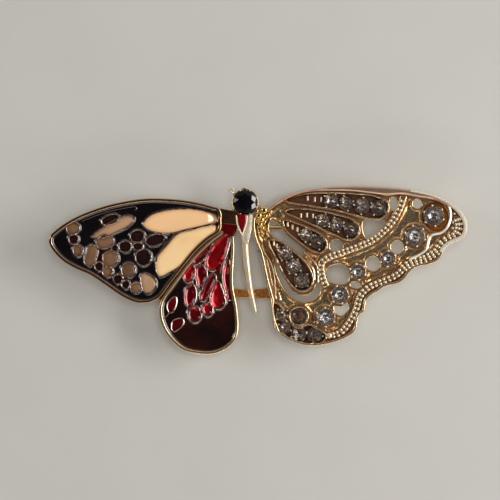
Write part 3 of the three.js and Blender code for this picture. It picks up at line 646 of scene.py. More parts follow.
# %% Find the outlines of a plateau
SHORTEST = 0.14
SMALLEST = 0.02
SAME_HEIGHT = 0.012


def apart(loop):
    """The loop without points that nearly touch the one before."""
    kept = [loop[0]]
    for point in loop[1:]:
        if np.linalg.norm(point - kept[-1]) > SHORTEST:
            kept.append(point)
    if len(kept) > 1 and np.linalg.norm(kept[0] - kept[-1]) < SHORTEST:
        kept.pop()
    return np.array(kept)


def signed_area(loop):
    x, y = loop[:, 0], loop[:, 1]
    return 0.5 * np.sum(x * np.roll(y, -1) - y * np.roll(x, -1))


def plateau(name, bench, height, facing=1):
    """The closed outlines of a node's flat area at a height, with the metal on their left."""
    points, faces = welded(name, bench)
    edges = set()
    for face in faces:
        corner = points[list(face)]
        if np.abs(corner[:, 2] - height).max() > SAME_HEIGHT:
            continue
        turn = np.cross(corner[1] - corner[0], corner[2] - corner[0])[2]
        if turn * facing > 0:
            ordered = face if facing > 0 else face[::-1]
            edges.update(zip(ordered, ordered[1:] + ordered[:1]))
    after = {}
    for a, b in edges:
        if (b, a) not in edges:
            after.setdefault(a, []).append(b)
    loops = []
    while after:
        start = next(iter(after))
        loop = [start]
        while True:
            options = after[loop[-1]]
            step = options.pop()
            if not options:
                del after[loop[-1]]
            if step == start or step not in after:
                break
            loop.append(step)
        loop = apart(points[loop][:, :2])
        if len(loop) > 2 and abs(signed_area(loop)) > SMALLEST:
            loops.append(loop)
    return loops


sample = plateau("forewing_tray", LEFT, 2.2)
print("outlines at the forewing's wall tops:", len(sample))

# %% [markdown]
# The CAD's outline is a string of short straight lines. A curve that passes through its points with an even
# turn makes it a drawn line again. A turn of more than about sixty degrees is a real corner, so it stays
# sharp.

# %% Smooth an outline
CORNER = math.radians(62)


def smooth_loop(p, step, grow=0.0):
    """The outline as an even, smooth curve. Sharp corners stay sharp. Grow moves it outwards."""
    ahead = np.roll(p, -1, 0) - p
    length = np.linalg.norm(ahead, axis=1)[:, None]
    unit = ahead / length
    back_unit = np.roll(unit, 1, 0)
    back_length = np.roll(length, 1, 0)
    turn = np.arccos(np.clip((unit * back_unit).sum(1), -1, 1))
    tangent = (unit * back_length + back_unit * length) / (length + back_length)
    corner = turn > CORNER
    out = []
    for i in range(len(p)):
        j = (i + 1) % len(p)
        t0 = (unit[i] if corner[i] else tangent[i]) * length[i]
        t1 = (unit[i] if corner[j] else tangent[j]) * length[i]
        count = max(1, round(length[i, 0] / step))
        t = np.arange(count)[:, None] / count
        h = (2 * t**3 - 3 * t**2 + 1, t**3 - 2 * t**2 + t, -2 * t**3 + 3 * t**2, t**3 - t**2)
        out.append(h[0] * p[i] + h[1] * t0 + h[2] * p[j] + h[3] * t1)
    curve = np.concatenate(out)
    return curve if grow == 0 else shifted(curve, grow)


def shifted(curve, distance):
    """The outline moved to its right, which is outwards from the metal."""
    along = np.roll(curve, -1, 0) - np.roll(curve, 1, 0)
    along /= np.maximum(np.linalg.norm(along, axis=1), 1e-9)[:, None]
    return curve + distance * np.stack([along[:, 1], -along[:, 0]], 1)


print("points on the first smoothed outline:", len(smooth_loop(sample[0], 0.16)))

# %% [markdown]
# Two questions are asked of every point of a sheet: is it inside the outlines, and how far is it from them?
# A line from the point to the right crosses the outlines an odd number of times if it is inside. The points
# are taken in blocks, because the tables of distances would be too large otherwise.

# %% Inside, and the distance from the edge
def in_blocks(points, work, block=2000):
    return np.concatenate([work(points[i : i + block]) for i in range(0, len(points), block)])


def inside(points, curves):
    """Whether each point lies in the area between the outlines, by counting crossings."""
    a = np.concatenate(curves)
    b = np.concatenate([np.roll(c, -1, 0) for c in curves])

    def test(q):
        x, y = q[:, :1], q[:, 1:]
        spans = (a[:, 1] > y) != (b[:, 1] > y)
        with np.errstate(divide="ignore", invalid="ignore"):
            at = a[:, 0] + (y - a[:, 1]) / (b[:, 1] - a[:, 1]) * (b[:, 0] - a[:, 0])
        return ((spans & (x < at)).sum(1) % 2) == 1

    return in_blocks(points, test)


def from_edge(points, curves):
    """The distance from each point to the nearest outline."""
    edge = np.concatenate(curves)

    def nearest(q):
        return np.sqrt(((q[:, None, :] - edge[None]) ** 2).sum(2).min(1))

    return in_blocks(points, nearest, 1000)


sample_line = [smooth_loop(sample[0], 0.5)]
strays = from_edge(sample[0], sample_line)
print("the CAD's corners lie at most", round(strays.max(), 3), "mm from the smoothed curve's points")

# %% [markdown]
# ## Soft-edged sheets
#
# `relief` fills the area between outlines with small triangles, lifts each point by a height that depends
# on how far it is from the edge, and closes the sheet with sides and a back. Extra rows of points close to
# the edge carry the tight curve there. `crown` is a wire's round top, `dome` is glass that stands proud,
# and `hollow` is enamel that creeps up its walls.

# %% A shape that pieces are added to
class Shape:
    """Points, faces and each point's distance from the edge, joined as pieces are added."""

    def __init__(self):
        self.points = []
        self.faces = []
        self.inset = []
        self.slots = []

    def add(self, points, faces, inset=None, slot=0):
        base = len(self.points)
        self.points += [tuple(p) for p in points]
        self.faces += [tuple(v + base for v in f) for f in faces]
        self.inset += list(inset) if inset is not None else [1.0] * len(points)
        self.slots += [slot] * len(faces)

# %% [markdown]
# A fan of long triangles can't hold a curved top, so the sheet is filled with an even triangle grid. Rows
# of points that follow the edge come first, and the grid keeps clear of them. Triangles in holes are left
# out.

# %% Fill the area between outlines
ROW_SPACING = 0.866
GRID_CLEARS, ROW_CLEARS = 0.45, 0.85
MERGE = 1e-5
LEAST_AREA = 1e-7
ON_EDGE = 1e-4


def triangle_grid(low, high, step):
    """Points in even rows, each row half a step along from the one below."""
    xs = np.arange(low[0], high[0], step)
    ys = np.arange(low[1], high[1], step * ROW_SPACING)
    return np.array([(x + (j % 2) * step / 2, y) for j, y in enumerate(ys) for x in xs])


def fill(curves, step, rows):
    """Triangles between the outlines: their points, corners, and distances from the edge."""
    edge = np.concatenate(curves)
    grid = triangle_grid(edge.min(0), edge.max(0), step)
    grid = grid[inside(grid, curves)] if len(grid) else grid.reshape(0, 2)
    far = (rows[-1] if rows else 0) + GRID_CLEARS * step
    grid = grid[from_edge(grid, curves) > far] if len(grid) else grid
    layers = [edge, grid]
    for row in rows:
        ring = np.concatenate([shifted(c, -row) for c in curves])
        ring = ring[inside(ring, curves)]
        if len(ring):
            layers.append(ring[from_edge(ring, curves) > ROW_CLEARS * row])
    points = np.concatenate(layers)
    edges = []
    start = 0
    for curve in curves:
        edges += [(start + i, start + (i + 1) % len(curve)) for i in range(len(curve))]
        start += len(curve)
    made = geometry.delaunay_2d_cdt([Vector(p) for p in points], edges, [], 0, MERGE, False)
    flat = np.array([v[:] for v in made[0]])
    triangles = np.array(made[2])
    corner = flat[triangles]
    area = np.cross(corner[:, 1] - corner[:, 0], corner[:, 2] - corner[:, 0])
    triangles = triangles[(area > LEAST_AREA) & inside(corner.mean(1), curves)]
    distance = from_edge(flat, curves)
    distance[distance < ON_EDGE] = 0
    return flat, triangles, distance

# %% [markdown]
# `relief` lifts the filled sheet. The height of a point is a function of its distance from the edge and its
# place. A flat back and upright sides close the piece, so that it is a solid as well as a surface.

# %% Lift a sheet and close it
WIRE_ROWS = (0.02, 0.06)
EDGE_ROWS = (0.03, 0.08, 0.15)
LIP_ROWS = EDGE_ROWS + (0.24, 0.34)
BROW_ROWS = EDGE_ROWS + (0.24, 0.36, 0.5)


def relief(shape, loops, bottom, top, step=0.3, rows=EDGE_ROWS, grow=0.0, edge_step=0.16, slot=0):
    """A closed sheet over the outlines. Top is a function of distances and points."""
    curves = [smooth_loop(loop, edge_step, grow) for loop in loops]
    flat, triangles, distance = fill(curves, step, rows)
    heights = top(distance, flat)
    count = len(flat)
    upper = np.column_stack([flat, heights])
    lower = np.column_stack([flat, np.full(count, bottom)])
    faces = [tuple(t) for t in triangles] + [tuple(v + count for v in t[::-1]) for t in triangles]
    edges = {(int(t[k]), int(t[(k + 1) % 3])) for t in triangles for k in range(3)}
    for a, b in edges:
        if (b, a) not in edges:
            faces.append((a, a + count, b + count, b))
    shape.add(np.concatenate([upper, lower]), faces, np.concatenate([distance, distance]), slot)

# %% [markdown]
# Three curves serve for nearly every top. A crown is a quarter circle up from the edge, as on a wire or a
# polished rim. A dome is the same with a height of its own, as on thick glass. A hollow is enamel that has
# crept up its wires while it was liquid.

# %% Crowns, domes and hollows
def crown(level, radius):
    """A rounded edge of a radius that ends at the level."""

    def heights(distance, points):
        t = np.clip(distance / radius, 0, 1)
        return level - radius * (1 - np.sqrt(1 - (1 - t) ** 2))

    return heights


def dome(level, rise, width):
    """Rises to the level over that width from the edge."""

    def heights(distance, points):
        t = np.clip(distance / width, 0, 1)
        return level - rise + rise * np.sqrt(1 - (1 - t) ** 2)

    return heights


SOFTNESS = 6


def hollow(level, creep, width):
    """Sunk in the middle, with an even slope of that width up to the wires and a soft foot."""

    def heights(distance, points):
        return level + creep * np.log1p(np.exp(SOFTNESS * (1 - distance / width))) / SOFTNESS

    return heights


print("a crown's height at its edge and inside:", crown(1, 0.2)(np.array([0, 0.2]), None))

# %% [markdown]
# A finished piece leaves the bench once: its mesh is shrunk to metres and turned with its wing. It is then
# fixed to the brooch's body, takes its materials, and hides the CAD solids it stands for. Long soft edges
# are shaded smooth, and turns of more than forty degrees stay sharp.

# %% Lay a finished piece in the frame
def lay(name, shape, bench, materials, replaces, smooth=40):
    """Makes the mesh, moves it from its bench into the frame, and fixes it to the body of the brooch."""
    mesh = bpy.data.meshes.new(name)
    mesh.from_pydata(shape.points, [], shape.faces)
    mesh.attributes.new("inset", "FLOAT", "POINT").data.foreach_set("value", shape.inset)
    for material in materials:
        mesh.materials.append(material)
    mesh.polygons.foreach_set("material_index", shape.slots)
    mesh.transform(Matrix.Scale(MM, 4) @ bench)
    mesh.validate()
    if smooth:
        mesh.shade_smooth()
        mesh.set_sharp_from_angle(angle=math.radians(smooth))
    made = bpy.data.objects.new(name, mesh)
    scene.collection.objects.link(made)
    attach(made, "brooch")
    if replaces:
        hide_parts(*replaces)
    print(f"{name}: {len(mesh.vertices)} points, {len(mesh.polygons)} faces")

# %% [markdown]
# ## The left wings
#
# Each left wing is a tray with a thick rim, thin walls between the cells, and enamel in the cells. The
# walls are soldered wires on the real thing, so their tops are round and bright. Every plateau becomes one
# relief: the plate, the rim and the walls together are the tray.

# %% Trays
FORE = {"back": 0.75, "floor": 1.35, "field": 2.0, "pool": 2.1, "wall": 2.2, "rim": 2.35}
HIND = {"back": 0.0, "floor": 0.6, "field": 1.25, "pool": 1.35, "wall": 1.45, "rim": 1.6}
SHARP_EDGE, RIM_EDGE, WIRE_EDGE = 0.02, 0.26, 0.12
PLATE_STEP, RIM_STEP, WIRE_STEP = 1.2, 0.18, 0.12
OVERLAP = 0.1


def tray(name, level, replaced, metal, wire_grow):
    """Back plate, rim and walls in one piece. Wire grow thickens the walls on both sides."""
    shape = Shape()
    foot = level["floor"] - OVERLAP
    back = plateau(replaced, LEFT, level["back"], -1)
    relief(shape, back, level["back"], crown(level["floor"], SHARP_EDGE), PLATE_STEP, (), slot=2)
    relief(shape, plateau(replaced, LEFT, level["rim"]), foot, crown(level["rim"], RIM_EDGE), RIM_STEP)
    walls = plateau(replaced, LEFT, level["wall"])
    wires = crown(level["wall"], WIRE_EDGE + wire_grow)
    relief(shape, walls, foot, wires, WIRE_STEP, WIRE_ROWS, wire_grow, edge_step=WIRE_STEP, slot=1)
    lay(name, shape, LEFT, [metal, WIRE_GOLD, YELLOW_GOLD], [replaced])


# the forewing's tray is in the darker gold, a painted shade; the hindwing's is in the pale one
tray("forewing_gilt_tray", FORE, "forewing_tray", SHADE_DUSKY_GOLD, 0.0)
tray("hindwing_gilt_tray", HIND, "hindwing_tray", PALE_GOLD, 0.03)

# %% [markdown]
# The enamels fill their cells to just under the walls. The CAD leaves a hair of clearance, which a little
# growth closes. A flat fill would look like paper. Black and red were thin when they were poured, so they
# lie hollow and creep up the wires, and the side away from the window shines.

# %% The dark fields
CREEP_ROWS = (0.04, 0.12, 0.22, 0.34, 0.46)
FILL_DEPTH, CLEARANCE = 0.45, 0.05


def pour(name, node_name, level, top, material, step=0.22):
    """Enamel over the plateau of one cell."""
    shape = Shape()
    relief(shape, plateau(node_name, LEFT, level), level - FILL_DEPTH, top, step, CREEP_ROWS, CLEARANCE)
    lay(name, shape, LEFT, [material], [node_name])


fore_field = hollow(FORE["field"] - 0.06, creep=0.18, width=0.24)
hind_field = hollow(HIND["field"] - 0.06, creep=0.18, width=0.26)
pour("forewing_black_field", "forewing_black", FORE["field"], fore_field, BLACK, 0.3)
pour("hindwing_black_field", "hindwing_black", HIND["field"], hind_field, MAROON_REFLECTION_BLACK, 0.3)

# %% [markdown]
# The cream is stiffer and stands slightly domed. The long front cell runs down towards the wing root, and
# that slope is what mirrors the window as a white patch. The two long cells are the lightest, two others
# are tan, and the small spots are dusky.

# %% The creams
TAN_CELLS = ("cream_tip_bar", "cream_spot_corner")
ROOT_SLOPE_X, ROOT_SLOPE, ROOT_SLOPE_WIDTH = -6.2, 0.43, 1.75


def run_down(top):
    """The same top, but running down to the right of a line, as the pour does at the wing root."""

    def heights(distance, points):
        past = np.clip(points[:, 0] - ROOT_SLOPE_X, 0, ROOT_SLOPE_WIDTH)
        return top(distance, points) - ROOT_SLOPE * past

    return heights


nodes = sorted(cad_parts)
proud = dome(FORE["wall"], rise=0.2, width=0.7)
for cell in [n for n in nodes if n.startswith("cream_")]:
    tint = cell.split("_")[1]
    tint = tint if tint in CREAMS else "tan" if cell in TAN_CELLS else "dusk"
    top = run_down(proud) if cell == "cream_front" else proud
    pour(cell + "_pour", cell, FORE["pool"], top, CREAMS[tint])

# %% [markdown]
# The reds are the thinnest pours and creep the highest. One red for all would look printed. Four cells get
# a lighter red, a painted highlight for cells that catch the light.

# %% The reds
LIT_RED_CELLS = ("red_edge", "red_drop", "red_low_spot", "red_root")
for cell in [n for n in nodes if n.startswith("red_") and n != "red_thorax_drop"]:
    tint = RED if cell in LIT_RED_CELLS else CRIMSON
    crept = hollow(1.2, creep=0.25, width=0.42)
    pour(cell + "_pour", cell, HIND["pool"], crept, tint, 0.14)

# %% [markdown]
# Bare rings of wire in the black field hold a drop of dark brown enamel. They have no CAD node of their
# own, so their places are the holes in the wall tops that no cream cell fills.

# %% Brown drops in the wire rings
def cell_centres(prefix, bench):
    away = bench.inverted()
    return [(away @ centre_mm(n)).xy for n in nodes if n.startswith(prefix)]


DUSKY_RINGS = ((-22.8, -5.3), (-27.7, -1.8))
RING_REACH = 0.6
drops = Shape()
taken = cell_centres("cream_", LEFT)
for loop in plateau("forewing_tray", LEFT, FORE["wall"]):
    if signed_area(loop) > 0:
        continue
    ring = loop[::-1]
    if not any(inside(np.array([c[:]]), [ring])[0] for c in taken):
        dusky = any(np.linalg.norm(ring.mean(0) - place) < RING_REACH for place in DUSKY_RINGS)
        relief(drops, [ring], 1.4, dome(1.86, rise=0.14, width=0.5), 0.2, grow=0.03, slot=int(dusky))
lay("ring_drops", drops, LEFT, [BROWN, CREAMS["dusk"]], ())

# %% [markdown]
# Some wires are laid on top of the enamel and have no cell of the CAD's. A wire is a tube swept along a
# smooth line, with a ball-like end. Sweeping by hand keeps the tube closed and lets it be flattened.

# %% Sweep a wire
def smooth_line(points, step, closed=False):
    """Even points on a smooth line through the given ones."""
    p = np.array(points, float)
    if closed:
        p = np.vstack([p[-1:], p, p[:2]])
    else:
        p = np.vstack([2 * p[0] - p[1], p, 2 * p[-1] - p[-2]])
    out = []
    for i in range(1, len(p) - 2):
        count = max(2, int(np.linalg.norm(p[i + 1] - p[i]) / step))
        t = np.arange(count)[:, None] / count
        a, b, c, d = p[i - 1 : i + 3]
        square, cube = 2 * a - 5 * b + 4 * c - d, 3 * b - a - 3 * c + d
        out.append(0.5 * (2 * b + (c - a) * t + square * t**2 + cube * t**3))
    if not closed:
        out.append(p[-2:-1])
    return np.concatenate(out)


WIRE_PIECE = 0.22
WIRE_SIDES = 8
END_SHARE = 0.6


def wire(shape, points, radius, closed=False, tall=1.0, slot=0):
    """A tube along points of (x, y, z). Tall stretches or squashes it in height."""
    line = smooth_line(points, WIRE_PIECE, closed)
    count = len(line)
    along = np.roll(line, -1, 0) - np.roll(line, 1, 0)
    if not closed:
        along[0], along[-1] = line[1] - line[0], line[-1] - line[-2]
    along /= np.linalg.norm(along, axis=1)[:, None]
    side = np.cross(along, (0, 0, 1.0))
    side /= np.maximum(np.linalg.norm(side, axis=1), 1e-6)[:, None]
    up = np.cross(side, along)
    rings = []
    for i in range(count):
        for k in range(WIRE_SIDES):
            angle = 2 * math.pi * k / WIRE_SIDES
            across, high = radius * math.cos(angle), radius * tall * math.sin(angle)
            rings.append(line[i] + across * side[i] + high * up[i])
    faces = []
    for i in range(count if closed else count - 1):
        j = (i + 1) % count
        for k in range(WIRE_SIDES):
            m = (k + 1) % WIRE_SIDES
            here, there = i * WIRE_SIDES, j * WIRE_SIDES
            faces.append((here + k, there + k, there + m, here + m))
    if not closed:
        for end, sign in ((0, -1), (count - 1, 1)):
            rings.append(line[end] + sign * END_SHARE * radius * along[end])
            tip = len(rings) - 1
            for k in range(WIRE_SIDES):
                a, b = end * WIRE_SIDES + k, end * WIRE_SIDES + (k + 1) % WIRE_SIDES
                faces.append((a, b, tip) if sign > 0 else (b, a, tip))
    shape.add(rings, faces, slot=slot)


def at_level(points, level):
    return [(x, y, level) for x, y in points]

# %% [markdown]
# Two small red cells at the hindwing's edge are rings of wire with a drop of glass in each, joined to the
# net by a short tail. A red filling closes the gap between three cells. On the forewing, a long wire
# follows the top edge and hooks back, and another lies along the back of the light cells.

# %% Wires and small cells laid on the left wings
SMALL_CELLS = (
    (
        (-11.55, -9.42), (-11.32, -10.35), (-11.78, -11.75),
        (-12.6, -12.1), (-12.95, -11.05), (-12.37, -9.88),
    ),
    (
        (-10.62, -13.03), (-10.15, -13.62), (-10.62, -14.55),
        (-11.78, -15.25), (-12.25, -14.55), (-11.9, -13.38),
    ),
)
FILLED_GAP = ((-3.75, -3.75), (-4.25, -4.1), (-4.95, -4.7), (-4.6, -5.35), (-4.15, -6.0), (-3.9, -5.0))
CELL_TAIL = ((-12.6, -12.1), (-13.1, -12.8), (-13.75, -13.3))
TOP_VEIN = ((-27, 3.1), (-23, 4.6), (-18.9, 5.45), (-18.2, 5.5), (-17.95, 5.15), (-18.3, 4.95))
CREAM_VEIN = ((-14.75, -3.6), (-14.5, -2.5), (-13.3, -0.8), (-11.9, 0.75))
laid = Shape()
small_reds = Shape()
for cell in SMALL_CELLS:
    wire(laid, at_level(cell, 1.3), radius=0.13, closed=True)
    loop = np.array(cell)
    loop = loop if signed_area(loop) > 0 else loop[::-1]
    relief(small_reds, [loop], 1.0, dome(1.36, rise=0.1, width=0.4), 0.2)
wire(laid, at_level(CELL_TAIL, 1.28), radius=0.09)
relief(small_reds, [np.array(FILLED_GAP)], 1.3, dome(1.53, rise=0.1, width=0.3), 0.16)
wire(laid, at_level(TOP_VEIN, 1.96), radius=0.06)
wire(laid, at_level(CREAM_VEIN, 2.18), radius=0.17, tall=0.7)
lay("laid_wires", laid, LEFT, [WIRE_GOLD], ())
lay("small_red_cells", small_reds, LEFT, [CRIMSON], ())

# %% [markdown]
# ## The right wing
#
# The right wing is one casting: a net with openings, sunk fingers with rows of stones, a broad raised brow
# and fine beaded bands. Each level is again a relief with a soft edge. The net between the openings isn't
# flat on the real thing: a lip runs round every opening and the metal sinks behind it, so `lipped` hollows
# it. The sunk floors never see the light, so they get a dark brown gold with a thick film, a painted shade.
# The low plate in the pits gets an orange gold, a painted reflection of the metal round it, and the brow a
# darker gold, painted shade. A thin sheet behind them all closes the back.

# %% The net
NET = {"plate": 0.5, "floor": 0.95, "base": 1.3, "band": 1.6, "wall": 1.85, "rim": 1.9, "brow": 2.1}
NET_FOOT = 0.2
PLATE_TOP = 0.42
THIN_EDGE = 0.05
SLOPE_SHARE = 0.8


def lipped(level, lip, depth):
    """A round lip along each edge, with the middle sunk behind it."""
    rounded = crown(level, lip / 2)

    def heights(distance, points):
        sunk = np.clip((distance - lip) / (SLOPE_SHARE * lip), 0, 1)
        return rounded(distance, points) - depth * sunk * sunk * (3 - 2 * sunk)

    return heights


net = Shape()


def net_sheet(key, top, step, rows=EDGE_ROWS, **settings):
    relief(net, plateau("right_wing", RIGHT, NET[key]), NET_FOOT, top, step, rows, **settings)


relief(net, plateau("right_wing", RIGHT, 0, -1), 0, crown(PLATE_TOP, THIN_EDGE), 0.9, ())
net_sheet("plate", crown(NET["plate"], THIN_EDGE), 0.5, (), slot=2)
net_sheet("floor", crown(NET["floor"], THIN_EDGE), 0.4, (0.04,), slot=1)
net_sheet("base", lipped(NET["base"], lip=0.34, depth=0.42), 0.2, LIP_ROWS)
net_sheet("band", crown(NET["band"], 0.2), 0.2)
net_sheet("wall", crown(NET["wall"], 0.15), 0.14, WIRE_ROWS, edge_step=0.14)
net_sheet("rim", crown(NET["rim"], 0.25), 0.16)
net_sheet("brow", crown(NET["brow"], 0.62), 0.16, BROW_ROWS, slot=3)
lay("openwork_wing", net, RIGHT, [PALE_GOLD, SHADED_GOLD, AMBER_REFLECTION_GOLD, BROW_SHADE_GOLD], ["right_wing"])

# %% [markdown]
# Raised lines are cast on top of the net: a double ridge round the tip, in a cream gold that paints its
# highlight, short struts beside the lowest finger, and a ladder of fine rungs down the wing's inner edge.
# The rim round the tip isn't drawn again by hand. It is a part of the wing's own outline, moved inwards, so
# that it can't stick out over the edge.

# %% Ridges, struts and the ladder on the right wing
TIP_RIDGE = (
    (33.6, 6.3), (34.2, 5.2), (34.35, 3.6), (33.8, 2.1), (32.8, 1.2),
    (31.3, 0.8), (30.75, -0.2), (30.4, -1.5), (29.3, -2.4), (27.6, -3.2),
)
TAIL_RIDGE = ((4.6, -9.7), (4.85, -11.5), (5.25, -14.6))
STRUTS = (
    (((9.82, -3.12), (11.6, -4.75), (11.85, -6.6)), 0.17),
    (((10.1, -2), (12.0, -3.9), (12.4, -5.1), (12.5, -7)), 0.15),
)
LADDER_LEFT = ((2.3, -0.6), (2.85, -2), (3.35, -3.7), (3.75, -6), (4.35, -9.2))
LADDER_RIGHT = ((3, -0.9), (3.6, -2.3), (4.5, -3.7), (5.12, -5.9), (5.35, -9.2))


def tip_rim(inset, from_x, from_y):
    """The part of the wing's outline that runs round the tip, moved inwards."""
    outline = max(plateau("right_wing", RIGHT, 0, -1), key=signed_area)
    edge = shifted(smooth_loop(outline, 0.5), -inset)
    chosen = (edge[:, 0] > from_x) & (edge[:, 1] > from_y)
    start = np.flatnonzero(chosen & ~np.roll(chosen, 1))[0]
    return np.roll(edge, -start, 0)[np.roll(chosen, -start)]


ridges = Shape()
wire(ridges, at_level(TIP_RIDGE, 1.6), radius=0.24, tall=1.2, slot=1)
wire(ridges, at_level(tip_rim(inset=0.38, from_x=27.5, from_y=-2.3), 1.8), radius=0.33, tall=0.8, slot=1)
wire(ridges, at_level(TAIL_RIDGE, 1.95), radius=0.14)
for strut, radius in STRUTS:
    wire(ridges, at_level(strut, 1.45), radius, tall=1.3)
for rail in (LADDER_LEFT, LADDER_RIGHT):
    wire(ridges, at_level(rail, 1.62), radius=0.13)
left_rail, right_rail = (smooth_line(rail, 0.1) for rail in (LADDER_LEFT, LADDER_RIGHT))
FIRST_RUNG, LAST_RUNG, RUNGS, RUNG_SLANT = 0.12, 0.97, 17, 0.02
RUNG_END, RUNG_MIDDLE = 1.5, 1.56
for share in np.linspace(FIRST_RUNG, LAST_RUNG, RUNGS):
    a = left_rail[int(share * (len(left_rail) - 1))]
    b = right_rail[int((share - RUNG_SLANT) * (len(right_rail) - 1))]
    wire(ridges, [(*a, RUNG_END), (*(a + b) / 2, RUNG_MIDDLE), (*b, RUNG_END)], radius=0.09)
lay("wing_ridges", ridges, RIGHT, [PALE_GOLD, HIGHLIGHT_CREAM_GOLD], ())

# %% [markdown]
# ## Stones
#
# A stone is a round brilliant: an eight-sided table, star and kite faces, a thin girdle, and a cone of long
# faces below. A ball of glass would only show one bright dot. The faces behind carry a mirror foil, so
# light that enters the top comes back out of it, split by the facets. All sizes are shares of the radius.

# %% A round brilliant
STONE_DEPTH = 0.72
GIRDLE = 0.03
KITE_SHARE, MAIN_SHARE, MAIN_DEPTH = 0.8, 0.35, 0.68


def brilliant(shape, centre, radius, table=0.56, rise=0.34, depth=STONE_DEPTH, turn=0.0):
    """A cut stone with its girdle at the centre. The faces behind it get material slot 1."""
    eighth = math.pi / 4

    def ring(share, height, offset, count=8):
        angles = turn + offset + np.arange(count) * 2 * math.pi / count
        flat = radius * share * np.stack([np.cos(angles), np.sin(angles)], 1)
        return np.column_stack([flat, np.full(count, height * radius)]) + np.array(centre)

    tops = ring(table, rise, 0)
    kites = ring(KITE_SHARE, 0.6 * rise + 0.4 * GIRDLE, eighth / 2)
    upper = ring(1, GIRDLE, 0, 16)
    lower = ring(1, -GIRDLE, 0, 16)
    mains = ring(MAIN_SHARE, -GIRDLE - (depth - GIRDLE) * MAIN_DEPTH, eighth / 2)
    tip = np.array([centre]) + np.array([[0, 0, -depth * radius]])
    points = np.concatenate([tops, kites, upper, lower, mains, tip])
    t, k, u, w, m, end = 0, 8, 16, 32, 48, 56
    front = [tuple(range(t, t + 8))]
    behind = []
    for i in range(8):
        j = (i + 1) % 8
        a, b, c = 2 * i, 2 * i + 1, (2 * i + 2) % 16
        before = (i + 7) % 8
        front += [(t + i, k + i, t + j), (k + i, u + a, u + b), (k + i, u + b, u + c)]
        front.append((t + i, k + before, u + a, k + i))
        behind += [(m + i, w + b, w + a), (m + i, w + c, w + b), (end, m + i, w + a, m + before)]
        front += [(u + a, w + a, w + b, u + b), (u + b, w + b, w + c, u + c)]
    shape.add(points, front)
    base = len(shape.points) - len(points)
    shape.faces += [tuple(v + base for v in f) for f in behind]
    shape.slots += [1] * len(behind)

# %% [markdown]
# The CAD's stones keep clear of each other. Real ones are set as close as they go, so each grows until it
# fills its cup or meets its neighbour. A wider stone is deeper too, and its point would go through the
# floor of the setting, so it is lifted until the point is a hair above where the CAD's is.

# %% Set the stones
CUP_ROOM, ROW_ROOM = 1.13, 1.34
CAD_DEPTH = 0.52
LIFT = 0.02
TURN_PER_MM = 1.7


def room_for(node_name):
    """The fitted radius of a stone: a little more than the CAD's, up to where it would touch the next one."""
    low, high = box_mm(node_name)
    radius = (high.y - low.y) / 2
    if node_name.startswith("stone_cup"):
        return CUP_ROOM * radius
    others = [centre_mm(n) for n in nodes if n.startswith("stone_row") and n != node_name]
    nearest = min((other - (low + high) / 2).length for other in others)
    return min(ROW_ROOM * radius, max(0.5 * nearest, radius))


def stone(node_name, bench):
    """A brilliant in the place of a CAD stone, turned by an angle of its own, so that no two flash alike."""
    low, high = box_mm(node_name)
    radius = (high.y - low.y) / 2
    place = bench.inverted() @ ((low + high) / 2)
    fitted = room_for(node_name)
    level = place.z - CAD_DEPTH * radius + STONE_DEPTH * fitted + LIFT
    shape = Shape()
    brilliant(shape, (place.x, place.y, level), fitted, turn=place.x * TURN_PER_MM)
    lay(node_name + "_cut", shape, bench, [CRYSTAL, FOIL], [node_name], smooth=0)
    return place.x, place.y, level, fitted


stones = {n: stone(n, RIGHT) for n in nodes if n.startswith("stone_")}
print("stone radii:", {n: round(s[3], 2) for n, s in stones.items()})

# %% [markdown]
# Each stone is held by grains of metal pushed over its edge: six round a cup, and four round a stone in a
# row. A grain is one small ball of triangles, made once and copied. A ball is stretched in height where it
# stands up like a claw, and squashed where it is a low bead.

# %% Balls, grains and claws
def ball_template():
    work = bmesh.new()
    bmesh.ops.create_icosphere(work, subdivisions=2, radius=1)
    points = np.array([v.co[:] for v in work.verts])
    faces = [tuple(v.index for v in f.verts) for f in work.faces]
    work.free()
    return points, faces


BALL_POINTS, BALL_FACES = ball_template()
CUP_GRAINS, ROW_GRAINS = (6, 0.2), (4, 0.17)
GRAIN_GAP, GRAIN_RISE, GRAIN_TALL = 0.06, 0.08, 1.25


def ball(shape, x, y, z, radius, tall=1.0):
    shape.add(BALL_POINTS * (radius, radius, radius * tall) + np.array((x, y, z)), BALL_FACES)


def around(x, y, radius, count, turn):
    """Even places on a circle."""
    for i in range(count):
        angle = turn + i * 2 * math.pi / count
        yield x + radius * math.cos(angle), y + radius * math.sin(angle)


grains = Shape()
for name, (x, y, level, radius) in stones.items():
    count, size = CUP_GRAINS if name.startswith("stone_cup") else ROW_GRAINS
    for grain_x, grain_y in around(x, y, radius + GRAIN_GAP, count, 0.5 + x):
        ball(grains, grain_x, grain_y, level + GRAIN_RISE, size, GRAIN_TALL)
lay("stone_grains", grains, RIGHT, [BRIGHT_GOLD], ())

# %% [markdown]
# The bands are covered with small beads, two side by side, and three near the tip, where the band is wider.
# Beads scattered at random would look like sand. These walk along the middle of the band at an even pace,
# and sit across it. The flat tip itself is filled with beads in close rows.

# %% Beads over the bands
WIDE_BAND_X = 26.5
WING_TIP_X = 34.6
TAIL_BEAD = (14.35, -15.9, 1.75)
TIP_BEAD_LEVEL, TIP_BEAD_RADIUS = 1.42, 0.27
PAIR, TRIPLE = (-1, 1), (-1.6, 0, 1.6)
CLEAR_SHARE = 0.55


